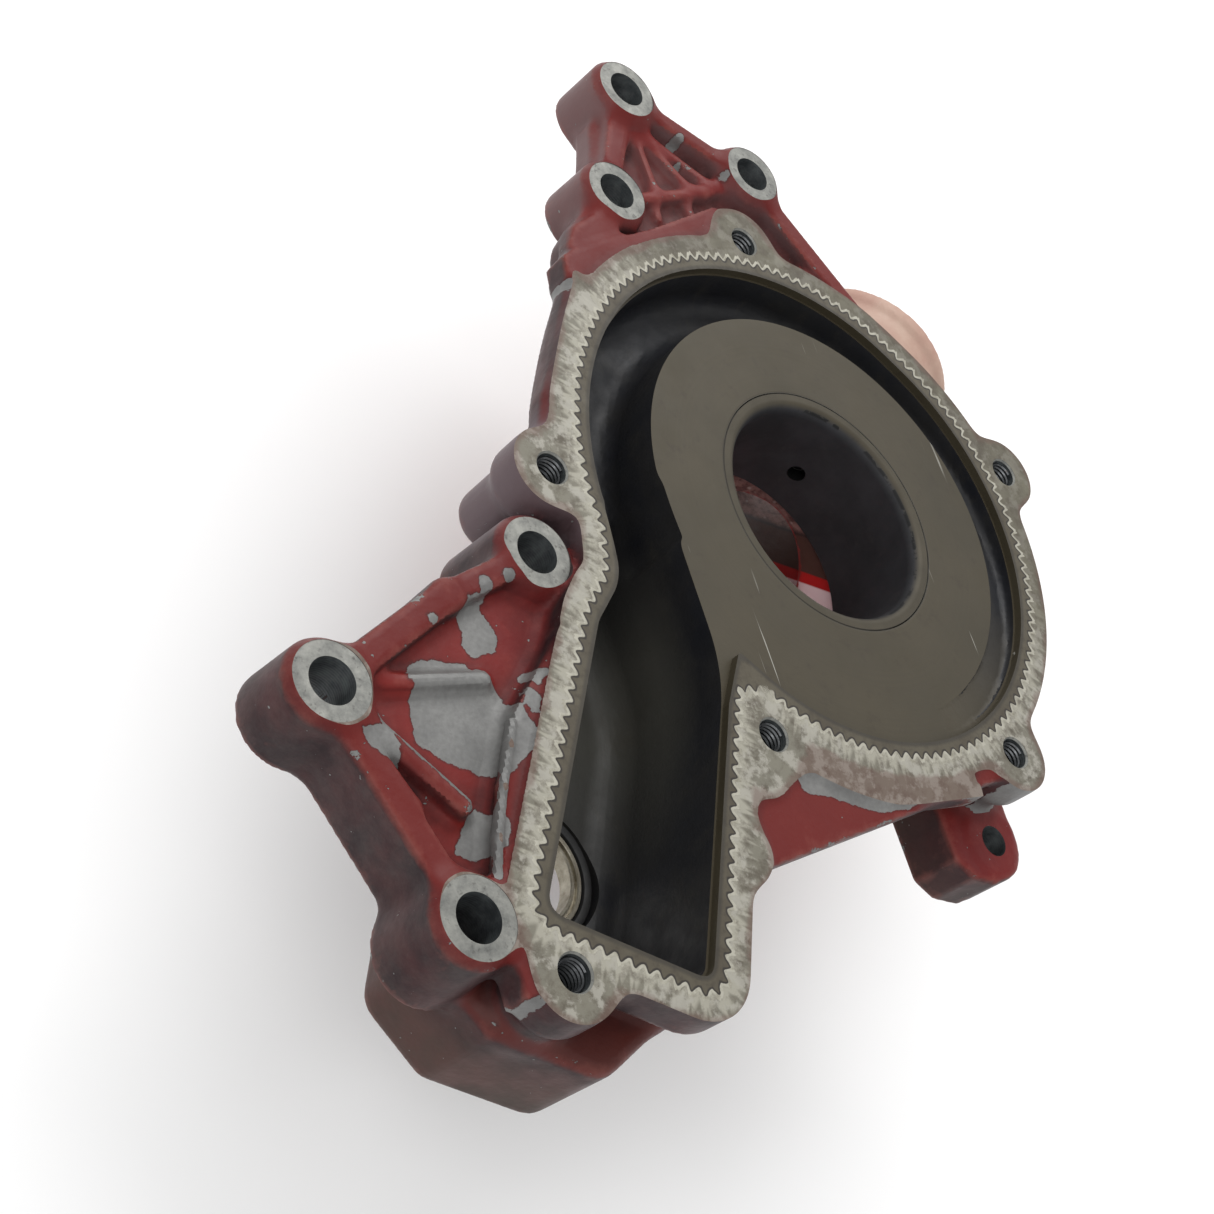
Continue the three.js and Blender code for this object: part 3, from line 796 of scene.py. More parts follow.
def housing_paint():
    surface = Surface("housing_paint")
    edge = surface.attribute("edge")
    fine = surface.noise(5, 6, 0.65)
    red = surface.mix(surface.noise(60, 4).step(0.35, 0.65), (114, 28, 24), (100, 22, 22))
    red = surface.mix(fine.step(0.5, 0.75, 0, 0.4), red, (128, 50, 44))
    red = surface.mix(surface.span(Z, -5.5, -3.5, 0, 0.6), red, (86, 25, 22))
    dust = surface.noise(9, 6, 0.7).step(0.4, 0.66)
    upper = surface.span(Y, 85, 125)
    web_dust = upper * surface.span(Z, -5, -9) * dust.step(0, 1, 0.35, 0.75)
    red = surface.mix(web_dust, red, (104, 72, 70))
    # Painted shade: walls that do not face up get dark tones mixed with dust. They are painted lighter on
    # the upper sides, as if lit from above, and browner deeper down.
    sides = surface.facing(Z).step(0.75, 0.1) * surface.noise(24, 5).step(0.25, 0.6, 0.75, 1.0)
    side_shade_and_dust = surface.mix(dust, (36, 22, 25), (54, 44, 44))
    side_shade_and_dust = surface.mix(upper * 0.85, side_shade_and_dust, (108, 82, 82))
    side_shade_and_dust = surface.mix(surface.span(Z, -24, -44, 0, 0.7), side_shade_and_dust, (66, 52, 44))
    red = surface.mix(sides, red, side_shade_and_dust)
    # Painted shade: the side walls of the lug are painted darker still.
    on_lug = surface.span(Y, -96, -106) * surface.span(X, 5, 22)
    red = surface.mix(on_lug * sides * 0.6, red, (40, 22, 24))
    sunk = surface.span(Z, -12, -17, 0, 0.75) * (1.0 - sides.most(on_lug))
    red = surface.mix(sunk, red, (62, 38, 33))
    rubbed_boss = surface.radius_from(*RUBBED_BOSS).step(30, 20, 0, 0.7) * sides
    red = surface.mix(rubbed_boss, red, (106, 92, 96))
    # Darker, rougher colour in the hollows and creases of the casting.
    hollow_darkening = surface.attribute("hollow").step(0.05, 0.8) * surface.noise(7, 5).step(0.3, 0.7, 0.3, 1.0)
    red = surface.mix(hollow_darkening, red, (36, 16, 17))
    rubbed = edge + (fine - 0.5) * 1.2
    red = surface.mix(rubbed.step(0.35, 0.9, 0, 0.35), red, (134, 78, 70))
    ragged = surface.attribute("chip") + (surface.noise(3.2, 4) - 0.5) * 3.0
    worn = edge + (surface.noise(11, 5, 0.7) - 0.5) * 3.2
    specks = surface.noise(2.4, 2, 0.5, shift=0.3).step(0.74, 0.75)
    bare = ragged.step(-0.05, 0.12).most(worn.step(1.0, 1.06)).most(specks)
    paint_rim = ragged.step(-0.7, -0.1) * (1.0 - bare)
    red = surface.mix(paint_rim * 0.5, red, (54, 16, 16))
    colour = surface.mix(bare, red, bare_casting_colour(surface))
    roughness = surface.noise(12, 4).step(0.3, 0.7, 0.38, 0.56) + hollow_darkening * 0.25
    skin = surface.bump(surface.noise(2.2, 3, 0.5), 0.10)
    normal = surface.bump(1.0 - bare, 0.18, skin)
    return surface.done(colour, roughness, normal, bare * 0.35, 0.22)


def gasket_mark(surface):
    """Millimetres across the wavy print that the gasket's edge left, below 0 on the opening's side."""
    phase = surface.attribute("print_turn") * (2 * math.pi)
    skew = phase + 0.9
    lean = phase + skew.apply("SINE") * 0.3
    pace = skew.apply("COSINE") * 0.3 + 1.0
    slope = lean.apply("SINE") * pace * (PRINT_HEIGHT * 2 * math.pi / PRINT_PITCH)
    steep = (slope * slope + 1.0).apply("SQRT")
    away = surface.attribute("print_side") - lean.apply("COSINE") * PRINT_HEIGHT
    return away / steep + (surface.noise(2.4, 3) - 0.5) * 0.6


def machined_flange():
    surface = Surface("machined_flange")
    mark = gasket_mark(surface)
    chalky = surface.span(X, -40, -75).most(surface.span(Y, -35, -70))
    cloud = surface.noise(16, 6, 0.65).step(0.36, 0.64)
    pale = surface.mix(cloud, (101, 97, 82), (82, 77, 65))
    pale = surface.mix(chalky * 0.5, pale, (108, 105, 94))
    pale = surface.mix(chalky * mark.step(5.0, 2.8, 0.15, 0.8), pale, (160, 157, 144))
    stain = surface.noise(5.5, 6, 0.7, shift=0.2).step(0.46, 0.64, 0, 0.7)
    pale = surface.mix(stain, pale, (70, 61, 49))
    white = surface.noise(8, 5, 0.65, shift=0.5).step(0.5, 0.58, 0, 0.8)
    pale = surface.mix(white * chalky.step(0, 1, 0.25, 1.0), pale, (156, 153, 143))
    reach = surface.attribute("outer") + (surface.noise(9, 5) - 0.5) * 7.0
    pale = surface.mix(reach.step(1.8, 0.2, 0, 0.5), pale, (88, 56, 48))
    strip = surface.mix(cloud, (80, 74, 60), (68, 61, 48))
    strip = surface.mix(surface.noise(3, 4).step(0.5, 0.75, 0, 0.6), strip, (50, 43, 33))
    strip = surface.mix(surface.attribute("lip").step(1.8, 0.8, 0, 0.7), strip, (42, 38, 31))
    kept = surface.attribute("print_seam").step(2.5, 4.5)
    kept = kept * surface.noise(11, 4, shift=0.9).step(0.30, 0.38, 0.35, 1.0)
    line = mark.step(0.0, 0.2) * mark.step(1.25, 1.0) * kept
    edge = mark.step(-0.7, -0.4) * mark.step(0.15, -0.05) * kept
    residue = surface.mix(surface.noise(4, 5, 0.7).step(0.45, 0.7), (166, 163, 150), (118, 113, 98))
    colour = surface.mix(mark.step(-0.2, 0.2), strip, pale)
    colour = surface.mix(edge, colour, (38, 33, 27))
    colour = surface.mix(line, colour, residue)
    scratch = surface.noise(1.2, 2, 0.5, (1, 0.06, 1))
    roughness = surface.noise(6, 4).step(0.3, 0.7, 0.42, 0.62)
    normal = surface.bump(line, 0.06, surface.bump(scratch, 0.03, surface.bump(stain, 0.04)))
    return surface.done(colour, roughness, normal, 0.2)


def turned_disc():
    surface = Surface("turned_disc")
    radius = surface.radius_from(0, 0)
    tone = surface.mix(surface.noise(45, 5).step(0.35, 0.65), (66, 59, 43), (59, 53, 38))
    streak = surface.value("ShaderNodeTexNoise", {
        "Vector": surface.value("ShaderNodeCombineXYZ", {0: radius}), "Scale": 0.9, "Detail": 6.0}, "Fac")
    tone = surface.mix(streak.step(0.35, 0.7, 0, 0.2), tone, (52, 48, 38))
    tone = surface.mix(surface.noise(7, 6, 0.7).step(0.56, 0.76, 0, 0.6), tone, (48, 39, 29))
    line = (radius - RING_LINE).apply("ABSOLUTE")
    tone = surface.mix(line.step(0.45, 0.1, 0, 0.4), tone, (48, 45, 39))
    scratches = surface.noise(1.5, 2, 0.4, (1.0, 0.035, 1), 0.9).step(0.70, 0.73)
    scratches = scratches * surface.noise(38, 2, 0.5, shift=1.3).step(0.54, 0.62)
    tone = surface.mix(scratches, tone, (150, 148, 140))
    groove = surface.bump(streak, 0.03, surface.bump(surface.noise(1.8, 3), 0.02))
    normal = surface.bump(line.step(0.1, 0.5), 0.05, groove)
    return surface.done(tone, surface.noise(20, 4).step(0.3, 0.7, 0.45, 0.58), normal, 0.25)


def wet_channel():
    surface = Surface("oily_channel")
    cloud = surface.noise(30, 6, 0.65).step(0.4, 0.75)
    tone = surface.mix(cloud, (30, 31, 35), (40, 39, 38))
    # Painted light: the deep walls of the chamber are painted lighter where the flange and disc shade them.
    deep_painted_light = surface.span(Z, -12, -30) * surface.span(Y, -110, -60) * surface.span(Y, -5, -40)
    tone = surface.mix(deep_painted_light, tone, (70, 69, 64))
    flow = surface.noise(9, 6, 0.7, (1, 0.35, 0.5)).step(0.55, 0.8, 0, 0.45)
    tone = surface.mix(flow, tone, (62, 58, 50))
    shallow = surface.span(Z, -6.5, -3.2) * surface.facing(Z).step(0.75, 0.95)
    tone = surface.mix(shallow, tone, (64, 58, 45))
    roughness = surface.noise(11, 5).step(0.3, 0.7, 0.36, 0.6)
    normal = surface.bump(surface.noise(26, 3), 0.35, surface.bump(surface.noise(3, 4), 0.12))
    return surface.done(tone, roughness, normal, 0.05, 0.3)


def mount_pad():
    surface = Surface("mount_pad")
    cloud = surface.noise(6, 5, 0.7).step(0.35, 0.7)
    tone = surface.mix(cloud, (140, 140, 134), (98, 99, 96))
    tone = surface.mix(surface.noise(2.2, 4).step(0.58, 0.7, 0, 0.7), tone, (70, 68, 65))
    normal = surface.bump(surface.noise(1.0, 3, 0.6, (1, 0.12, 1)), 0.06)
    return surface.done(tone, cloud.step(0, 1, 0.4, 0.6), normal, 0.4)


def drilled_wall():
    surface = Surface("drilled_wall")
    tone = surface.mix(surface.noise(5, 4).step(0.35, 0.7), (66, 70, 72), (104, 109, 110))
    groove = surface.value("ShaderNodeTexWave", {
        "Vector": surface.spot, "Scale": 320.0, "Distortion": 1.0}, "Fac", bands_direction="Z")
    return surface.done(tone, 0.45, surface.bump(groove, 0.05), 0.5)


def machined_back():
    surface = Surface("machined_back")
    tone = surface.mix(surface.noise(10, 5).step(0.35, 0.7), (96, 96, 92), (136, 134, 128))
    tone = surface.mix(surface.noise(3, 4).step(0.55, 0.75, 0, 0.6), tone, (60, 54, 46))
    return surface.done(tone, 0.5, surface.bump(surface.noise(1.4, 3), 0.04), 0.5)


def eye_ring_material():
    surface = Surface("eye_ring_finish")
    radius = surface.radius_from(0, 0)
    cloud = surface.noise(18, 5).step(0.35, 0.65)
    face = surface.mix(cloud, (70, 64, 51), (63, 58, 47))
    wall = surface.mix(cloud, (52, 52, 55), (41, 41, 43))
    wall = surface.mix(surface.noise(8, 6, 0.7).step(0.56, 0.8, 0, 0.5), wall, (70, 64, 63))
    colour = surface.mix(surface.facing(Z).step(0.5, 0.85), wall, face)
    band = radius.step(40.1, 40.4) * radius.step(41.1, 40.8) * surface.span(X, -5, 12)
    broken = surface.noise(4.5, 4, 0.6).step(0.48, 0.53)
    colour = surface.mix(band * broken, colour, (20, 20, 20))
    # Painted shade: the drilled passage's wall and a thin rim round its mouth are painted near black.
    colour = surface.mix(surface.attribute("passage").step(3.7, 3.3), colour, (12, 12, 12))
    normal = surface.bump(surface.noise(1.6, 3), 0.03)
    return surface.done(colour, cloud.step(0, 1, 0.5, 0.62), normal, 0.25, 0.35)


# What shows through the eye, painted by place in the view on the elbow's inside: from and to in the view,
# and the colour from there on. The first band is a painted shadow, and the last is painted light that stands
# for the bright floor seen past the elbow. Brown and red bands lie between them.
EYE_VIEW_BANDS = [
    (-70.4, -68.2, (52, 34, 32)),
    (-67.9, -67.0, (78, 50, 40)),
    (-50.8, -50.0, (196, 18, 18)),
    (-45.4, -44.7, (250, 224, 226)),
]


def elbow_paint():
    surface = Surface("elbow_paint")
    cloud = surface.noise(22, 5).step(0.35, 0.65)
    # Paint away from the joint, on faces not turned down, is pale pink: partly faded paint and partly a
    # painted highlight of the lamps. The red kept near the joint and on down-facing faces is partly painted
    # shade.
    lit_faded_pink = surface.mix(cloud, (184, 156, 139), (170, 134, 120))
    red_paint = surface.mix(cloud, (168, 48, 40), (140, 36, 32))
    lit_faded_share = surface.attribute("joint").step(2.0, 11.0) * surface.facing(Z).step(-0.6, 0.0)
    outer = surface.mix(lit_faded_share, red_paint, lit_faded_pink)
    chip = surface.noise(7, 5, 0.7, shift=0.4).step(0.70, 0.72, 0, 0.8)
    outer = surface.mix(chip, outer, (190, 184, 180))
    crust = surface.mix(surface.noise(3.5, 6, 0.7).step(0.4, 0.6), (96, 64, 58), (150, 116, 108))
    crust = surface.mix(surface.cells(4.0).step(0.25, 0.1, 0, 0.6), crust, (196, 182, 174))
    band = surface.attribute("band")
    lining = crust
    # The view bands paint a shadow and a bright glimpse of the floor onto the elbow's inside.
    for low, high, tone in EYE_VIEW_BANDS:
        lining = surface.mix(band.step(low, high), lining, tone)
    colour = surface.mix(surface.attribute("inner"), outer, lining)
    relief = surface.bump(surface.noise(3, 4), 0.12)
    return surface.done(colour, cloud.step(0, 1, 0.5, 0.7), relief)


def steel(name, light, dark, size=5.0, roughness=0.38):
    surface = Surface(name)
    cloud = surface.noise(size, 5, 0.65).step(0.35, 0.7)
    rust = surface.noise(size * 0.6, 5, 0.7, shift=0.8).step(0.6, 0.75, 0, 0.5)
    tone = surface.mix(rust, surface.mix(cloud, light, dark), (92, 62, 44))
    normal = surface.bump(surface.noise(size * 0.3, 3), 0.03)
    return surface.done(tone, cloud.step(0, 1, roughness, roughness + 0.2), normal, 0.8)


def rubber(name, light, dark):
    surface = Surface(name)
    cloud = surface.noise(6, 4).step(0.35, 0.7)
    tone = surface.mix(cloud, light, dark)
    return surface.done(tone, cloud.step(0, 1, 0.5, 0.7), surface.bump(surface.noise(1.2, 3), 0.05))


def floor_material():
    surface = Surface("studio_floor")
    tone = surface.mix(surface.noise(400, 3), (250, 250, 250), (244, 244, 244))
    return surface.done(tone, 0.9, surface.bump(surface.noise(60, 3), 0.05), specular=0.1)


# ---------------------------------------------------------------- pieces
def add_piece(piece, node):
    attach(piece, "root")
    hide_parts(node)


def set_attribute(piece, name, values):
    layer = piece.data.attributes.new(name, "FLOAT", "POINT")
    layer.data.foreach_set("value", np.ascontiguousarray(values, dtype=np.float32))


def smooth_with_sharp_edges(piece, degrees=32):
    data = piece.data
    data.polygons.foreach_set("use_smooth", np.ones(len(data.polygons), dtype=bool))
    data.set_sharp_from_angle(angle=math.radians(degrees))
    even = piece.modifiers.new("even_normals", "WEIGHTED_NORMAL")
    even.keep_sharp = True
    even.weight = 80


# Outlines where the paint has come off, and small round chips: x, y, radius.
BARE_PATCHES = [
    [(-188, -56), (-186, -54), (-162, -54), (-158, -66), (-155.5, -79.5),
     (-162, -82), (-169, -87), (-183, -80.5), (-192, -74), (-191, -66)],
    [(-164, -33), (-158, -32), (-153.5, -43), (-155.5, -48),
     (-165, -50), (-167, -46), (-165, -42), (-167, -37)],
    [(-190, -55), (-185, -50), (-179, -50), (-167, -51.5), (-167, -54.5), (-190, -57)],
    [(-183, -96), (-179, -94), (-174, -100), (-177, -107), (-183, -108.5), (-190, -106)],
    [(-212.5, -72), (-203, -70), (-201, -76), (-202, -82), (-207, -80), (-211.5, -77)],
    [(-206.5, -67.5), (-201.5, -68.5), (-181.5, -92), (-184.5, -94)],
    [(-64, -94.3), (-56, -90), (-44.6, -88.8), (-33, -91.5), (-20, -95.6), (1.3, -98.9), (8.6, -100),
     (5, -104.6), (-6, -104.6), (-19.4, -108.4), (-32.6, -108.6), (-42, -105.5), (-51.3, -102.3),
     (-62.3, -99.6)],
    [(-157, -66), (-153.5, -61), (-151, -65), (-154, -71)],
    [(-152, -57), (-148.5, -54.5), (-146, -58), (-150.5, -62)],
    [(50, -110), (59, -108), (59, -122), (51, -123)],
    [(29, -104), (56, -97), (58, -105), (29, -110)],
]
SMALL_CHIPS = [
    (-147.5, -26.5, 2.2), (-156.5, -29.5, 2.4), (-179.5, -40.5, 1.8), (-157, -32, 2), (7, 156, 2.6),
    (-86, 78, 2.2), (-4, 152, 2.2), (-5.5, 142.5, 1.6), (12, 138, 1.8), (-184, -150, 2.5),
]
NO_CHIP = -9.0
CHIPS_FLOOR = -22.0


def chip_depth(points):
    """How deep inside a patch of missing paint each point lies, in millimetres, below 0 outside."""
    x, y, z = points.T
    depth = np.full(len(points), NO_CHIP)
    for patch in BARE_PATCHES:
        depth = np.maximum(depth, -polygon_distance(np.array(patch, dtype=float), x, y))
    for cx, cy, radius in SMALL_CHIPS:
        depth = np.maximum(depth, -disc_distance(cx, cy, radius, x, y))
    for start, end in zip(BEAD, BEAD[1:]):
        near_bead = 3 * (1.3 - bar_distance(start, end, 0, x, y))
        depth = np.maximum(depth, np.where(z > -2.2, near_bead, NO_CHIP))
    return np.where(z > CHIPS_FLOOR, depth, NO_CHIP)


def refine_patches(piece, longest=1.8):
    """Splits long edges round the patches of missing paint, so that these keep their outlines."""
    mesh = bmesh.new()
    mesh.from_mesh(piece.data)
    for _ in range(6):
        middles = np.array([(edge.verts[0].co + edge.verts[1].co) / 2 for edge in mesh.edges])
        lengths = np.array([edge.calc_length() for edge in mesh.edges]) / MM
        depth = chip_depth(to_working(middles))
        wanted = (lengths > longest) & (depth >= -lengths / 2 - 1)
        if not wanted.any():
            break
        split = [edge for edge, chosen in zip(mesh.edges, wanted) if chosen]
        bmesh.ops.subdivide_edges(mesh, edges=split, cuts=1, use_grid_fill=True)
        bmesh.ops.triangulate(mesh, faces=[face for face in mesh.faces if len(face.verts) > 4])
    mesh.to_mesh(piece.data)
    mesh.free()


PAINT, FLANGE, DISC, CHANNEL, PAD, WALL_OF_HOLE, BACK = range(7)


def sort_faces(piece):
    """Gives every face of the housing the finish of the surface that it belongs to."""
    faces = piece.data.polygons
    x, y, z = to_working(read_vectors(faces, "center")).T
    up = read_vectors(faces, "normal")[:, Z]
    radius = np.hypot(x, y)
    inside = polygon_distance(RECESS, x, y) < 0.1
    finish = np.full(len(faces), PAINT)
    finish[inside & (z < -0.2) & (z > -CHAMBER_DEPTH - 0.5)] = CHANNEL
    finish[(up > 0.99) & (abs(z - FLANGE_FACE) < 0.05)] = FLANGE
    channel_rim = opening_radius(angle_from_start(x, y)) - LEDGE_EDGE
    on_ledge = (polygon_distance(CHAMBER, x, y) < 1.3) | (radius > channel_rim)
    finish[inside & (up > 0.99) & (abs(z + DISC_STEP) < 0.05) & ~on_ledge] = DISC
    finish[inside & (abs(up) < 0.5) & (z < -0.1) & (z > -DISC_STEP - 0.05)] = DISC
    finish[(radius < 68) & (z < -HUB_DEPTH + 0.1)] = BACK
    finish[(radius < EYE_RING_OUTER + 0.4) & (abs(up) < 0.5)] = BACK
    finish[(disc_distance(*PORT, 23.2, x, y) < 0) & (z < -CHAMBER_DEPTH + 0.1)] = CHANNEL
    for bx, by, top, depth in BOSSES.values():
        away = disc_distance(bx, by, 0, x, y)
        finish[(away < PAD_RADIUS + 0.8) & (up > 0.9) & (abs(z - top + 0.05) < 0.12)] = PAD
        wall = (away < MOUNT_HOLE + 0.2) & (abs(up) < 0.5) & (z > BLIND_HOLE_BOTTOM - 0.2)
        finish[wall] = WALL_OF_HOLE
    for cx, cy, reach in [(*hole, 6.0) for hole in COVER_HOLES] + [(LUG[0], LUG[1], 5.7)]:
        near = disc_distance(cx, cy, reach, x, y) < 0
        finish[near & (up < 0.9)] = WALL_OF_HOLE
        finish[near & (up > 0.2) & (up < 0.98) & (z > -1.2)] = PAD
    faces.foreach_set("material_index", finish.astype(np.int32))


def build_housing():
    cast = red_casting()
    piece = cast.mesh("volute_casting")
    thin = piece.modifiers.new("thin_out", "DECIMATE")
    thin.ratio = 0.36
    apply_modifiers(piece)
    carve(piece, housing_cutters())
    refine_patches(piece)
    for material in (housing_paint(), machined_flange(), turned_disc(), wet_channel(), mount_pad(),
                     drilled_wall(), machined_back()):
        piece.data.materials.append(material)
    sort_faces(piece)
    points = to_working(read_vectors(piece.data.vertices, "co"))
    x, y, z = points.T
    set_attribute(piece, "edge", np.clip(cast.roundness(points, 2) * 1.2, 0, 2))
    set_attribute(piece, "hollow", np.clip(-cast.roundness(points, 4) * 0.6, 0, 2))
    set_attribute(piece, "chip", chip_depth(points))
    set_attribute(piece, "lip", polygon_distance(RECESS, x, y))
    set_attribute(piece, "outer", -flange_plan(x, y))
    set_attribute(piece, "print_side", polygon_distance(PRINT_LINE, x, y))
    along, whole = along_outline(PRINT_LINE, x, y)
    set_attribute(piece, "print_turn", along / whole * round(whole / PRINT_PITCH))
    set_attribute(piece, "print_seam", np.minimum(along, whole - along))
    smooth_with_sharp_edges(piece)
    add_piece(piece, "volute_housing")


def build_eye_ring():
    lip = [(EYE_RADIUS + 3.4 * (1 - math.sin(a)), -DISC_STEP - 4.8 * (1 - math.cos(a)))
           for a in np.linspace(0, math.pi / 2, 12)]
    outer = EYE_RING_OUTER
    profile = lip + [(EYE_RADIUS, -20), (EYE_RADIUS, -46.2), (EYE_RADIUS + 0.5, -46.7), (outer - 0.4, -46.7),
                     (outer, -46.3), (outer, -DISC_STEP - 0.25), (outer - 0.25, -DISC_STEP)]
    ring = lathe(profile, 200, "eye_ring_turned")
    carve(ring, [passage_rod(PASSAGE_RADIUS, 30, 60)])
    ring.data.materials.append(eye_ring_material())
    line = Vector((*polar(1, PASSAGE_ANGLE), 0))
    away = []
    for spot in to_working(read_vectors(ring.data.vertices, "co")):
        offset = Vector(spot) - Vector(PASSAGE_START)
        away.append((offset - line * offset.dot(line)).length)
    set_attribute(ring, "passage", away)
    smooth_with_sharp_edges(ring)
    add_piece(ring, "eye_ring")


def thread_insert(number, x, y, material):
    """A coil of diamond-section wire that lines a threaded hole."""
    turns, pitch, per_turn = 12, 1.5, 28
    section = [(4.98, 0.0), (4.55, 0.5), (4.2, 0.0), (4.55, -0.5)]
    points, faces = [], []
    count = turns * per_turn
    for i in range(count + 1):
        angle = 360 * i / per_turn
        z = -1.8 - pitch * i / per_turn
        for radius, rise in section:
            spot = polar(radius, angle)
            points.append((x + spot[0], y + spot[1], max(z + rise, -19.2)))
    for i in range(count):
        for k in range(4):
            m = (k + 1) % 4
            faces.append((4 * i + k, 4 * i + 4 + k, 4 * i + 4 + m, 4 * i + m))
    faces.append((0, 1, 2, 3))
    faces.append(tuple(4 * count + k for k in (3, 2, 1, 0)))
    coil = new_mesh(f"thread_coil_{number}", place(points), faces)
    coil.data.materials.append(material)
    smooth_with_sharp_edges(coil, 50)
    add_piece(coil, f"cover_thread_insert_{number}")


def build_inserts():
    material = steel("insert_steel", (120, 122, 124), (70, 72, 74), 3.0, 0.3)
    for number, (x, y) in enumerate(COVER_HOLES, 1):
        thread_insert(number, x, y, material)


def build_outlet_port():
    seal = [(22.7, -58.2), (22.7, -56.2), (22.1, -55.3), (20.9, -55.0), (19.6, -55.4), (19.1, -56.4),
            (19.1, -58.2)]
    ring = lathe(seal, 120, "port_seal_ring", PORT)
    ring.data.materials.append(rubber("seal_black", (34, 34, 34), (22, 22, 22)))
    smooth_with_sharp_edges(ring, 40)
    add_piece(ring, "outlet_port_seal")
    sleeve = [(18.8, -58.2), (18.8, -56.0), (18.5, -55.6), (17.6, -55.6), (17.3, -55.9), (17.3, -57.2),
              (16.2, -57.2), (16.2, -56.2), (15.9, -55.9), (15.3, -55.9), (15.0, -56.2), (15.0, -61.9),
              (15.4, -62.3), (16.8, -62.3), (17.2, -61.9), (17.2, -58.2)]
    tube = lathe(sleeve, 120, "port_sleeve_turned", PORT)
    tube.data.materials.append(steel("sleeve_steel", (190, 184, 168), (128, 120, 104), 6.0, 0.3))
    smooth_with_sharp_edges(tube, 40)
    add_piece(tube, "outlet_port_sleeve")


# ---------------------------------------------------------------- suction elbow and its small parts
PIPE_ANGLE = 38.5
PIPE_TILT = 7.0
PIPE_AXIS_Z = -92.0
PIPE_OUTER = 37.5
PIPE_INNER = 32.5
PIPE_REACH = 177.0
PIPE_BEAD = 38.9
BARREL_OUTER = 48.0
BARREL_INNER = 42.5
BARREL_BOTTOM = -84.0
ELBOW_TOP = -47.3
ELBOW_FLANGE_RADIUS = 66.5
ELBOW_FLANGE_BOTTOM = -57.3


def from_pipe(x, y, z):
    """How far along the pipe's axis each point lies, and how far away from it."""
    ax, ay = polar(math.cos(math.radians(PIPE_TILT)), PIPE_ANGLE)
    height = z - PIPE_AXIS_Z
    along = x * ax + y * ay + height * math.sin(math.radians(PIPE_TILT))
    square = x * x + y * y + height * height - along * along
    return along, np.sqrt(np.maximum(square, 0))


def from_barrel(x, y, z):
    """Distance from the barrel's axis, or from the middle of its round bottom."""
    below = np.minimum(z - BARREL_BOTTOM, 0.0)
    return np.sqrt(x * x + y * y + below * below)


def pipe_shape(radius, start, end, edge):
    def shape(x, y, z):
        along, away = from_pipe(x, y, z)
        return block(away - radius, along, end, start, edge)
    return shape


def barrel_shape(radius):
    return lambda x, y, z: from_barrel(x, y, z) - radius


def eye_view_height(points):
    """Place of each point in the view down the eye, in thousandths of the viewing distance."""
    away = points - np.array(CAMERA_SPOT)
    depth = -away @ np.array(CAMERA_BACK)
    across = away @ np.array(CAMERA_RIGHT) / depth
    down = -away @ np.array(CAMERA_UP) / depth
    return 1000 * (down - 0.35 * across)


def build_elbow():
    reach = PIPE_REACH / math.cos(math.radians(PIPE_TILT))
    cast = Casting((-74, -74, -136), (176, 166, -26), 1.5)
    low, high = (-70, -70, -133), (172, 160, -30)
    cast.add(prism(disc(0, 0, ELBOW_FLANGE_RADIUS), -40, ELBOW_FLANGE_BOTTOM, 2), low, high)
    cast.add(barrel_shape(BARREL_OUTER), low, (50, 50, -34), 7)
    cast.add(pipe_shape(PIPE_OUTER, 10, reach - 0.2, 1.5), low, high, 12)
    cast.add(pipe_shape(PIPE_BEAD, reach - 7, reach - 0.2, 2.2), low, high, 2)
    for angle in BOLT_ANGLES:
        x, y = polar(BOLT_CIRCLE, angle)
        cast.add(prism(disc(x, y, 9), ELBOW_FLANGE_BOTTOM, -84, 2),
                 (x - 9, y - 9, -84), (x + 9, y + 9, -57), 2, cut=True)
    cast.add(barrel_shape(BARREL_INNER), (-44, -44, -128), (44, 44, -26), 1, cut=True)
    cast.add(pipe_shape(PIPE_INNER, 10, reach + 20, 0.5), low, (190, 176, -20), 6, cut=True)
    piece = cast.mesh("suction_elbow_casting")
    thin = piece.modifiers.new("thin_out", "DECIMATE")
    thin.ratio = 0.8
    apply_modifiers(piece)
    groove = lathe([(47.1, -50.2), (50.7, -50.2), (50.7, -40), (47.1, -40)], 96, "cutter")
    trim = plug(0, 0, 76, -20, ELBOW_TOP, sides=96)
    holes = [plug(*polar(BOLT_CIRCLE, angle), 4.5, -40, -70) for angle in BOLT_ANGLES]
    carve(piece, [trim, groove] + holes)
    piece.data.materials.append(elbow_paint())
    points = to_working(read_vectors(piece.data.vertices, "co"))
    x, y, z = points.T
    along, away = from_pipe(x, y, z)
    in_pipe = (away < PIPE_INNER + 0.8) & (along > 0)
    in_barrel = from_barrel(x, y, z) < BARREL_INNER + 0.8
    set_attribute(piece, "inner", (in_pipe | in_barrel).astype(float))
    set_attribute(piece, "joint", np.maximum(np.hypot(x, y) - 84, 0) + np.maximum(-z - 62, 0))
    set_attribute(piece, "band", eye_view_height(points))
    smooth_with_sharp_edges(piece, 40)
    add_piece(piece, "suction_elbow")


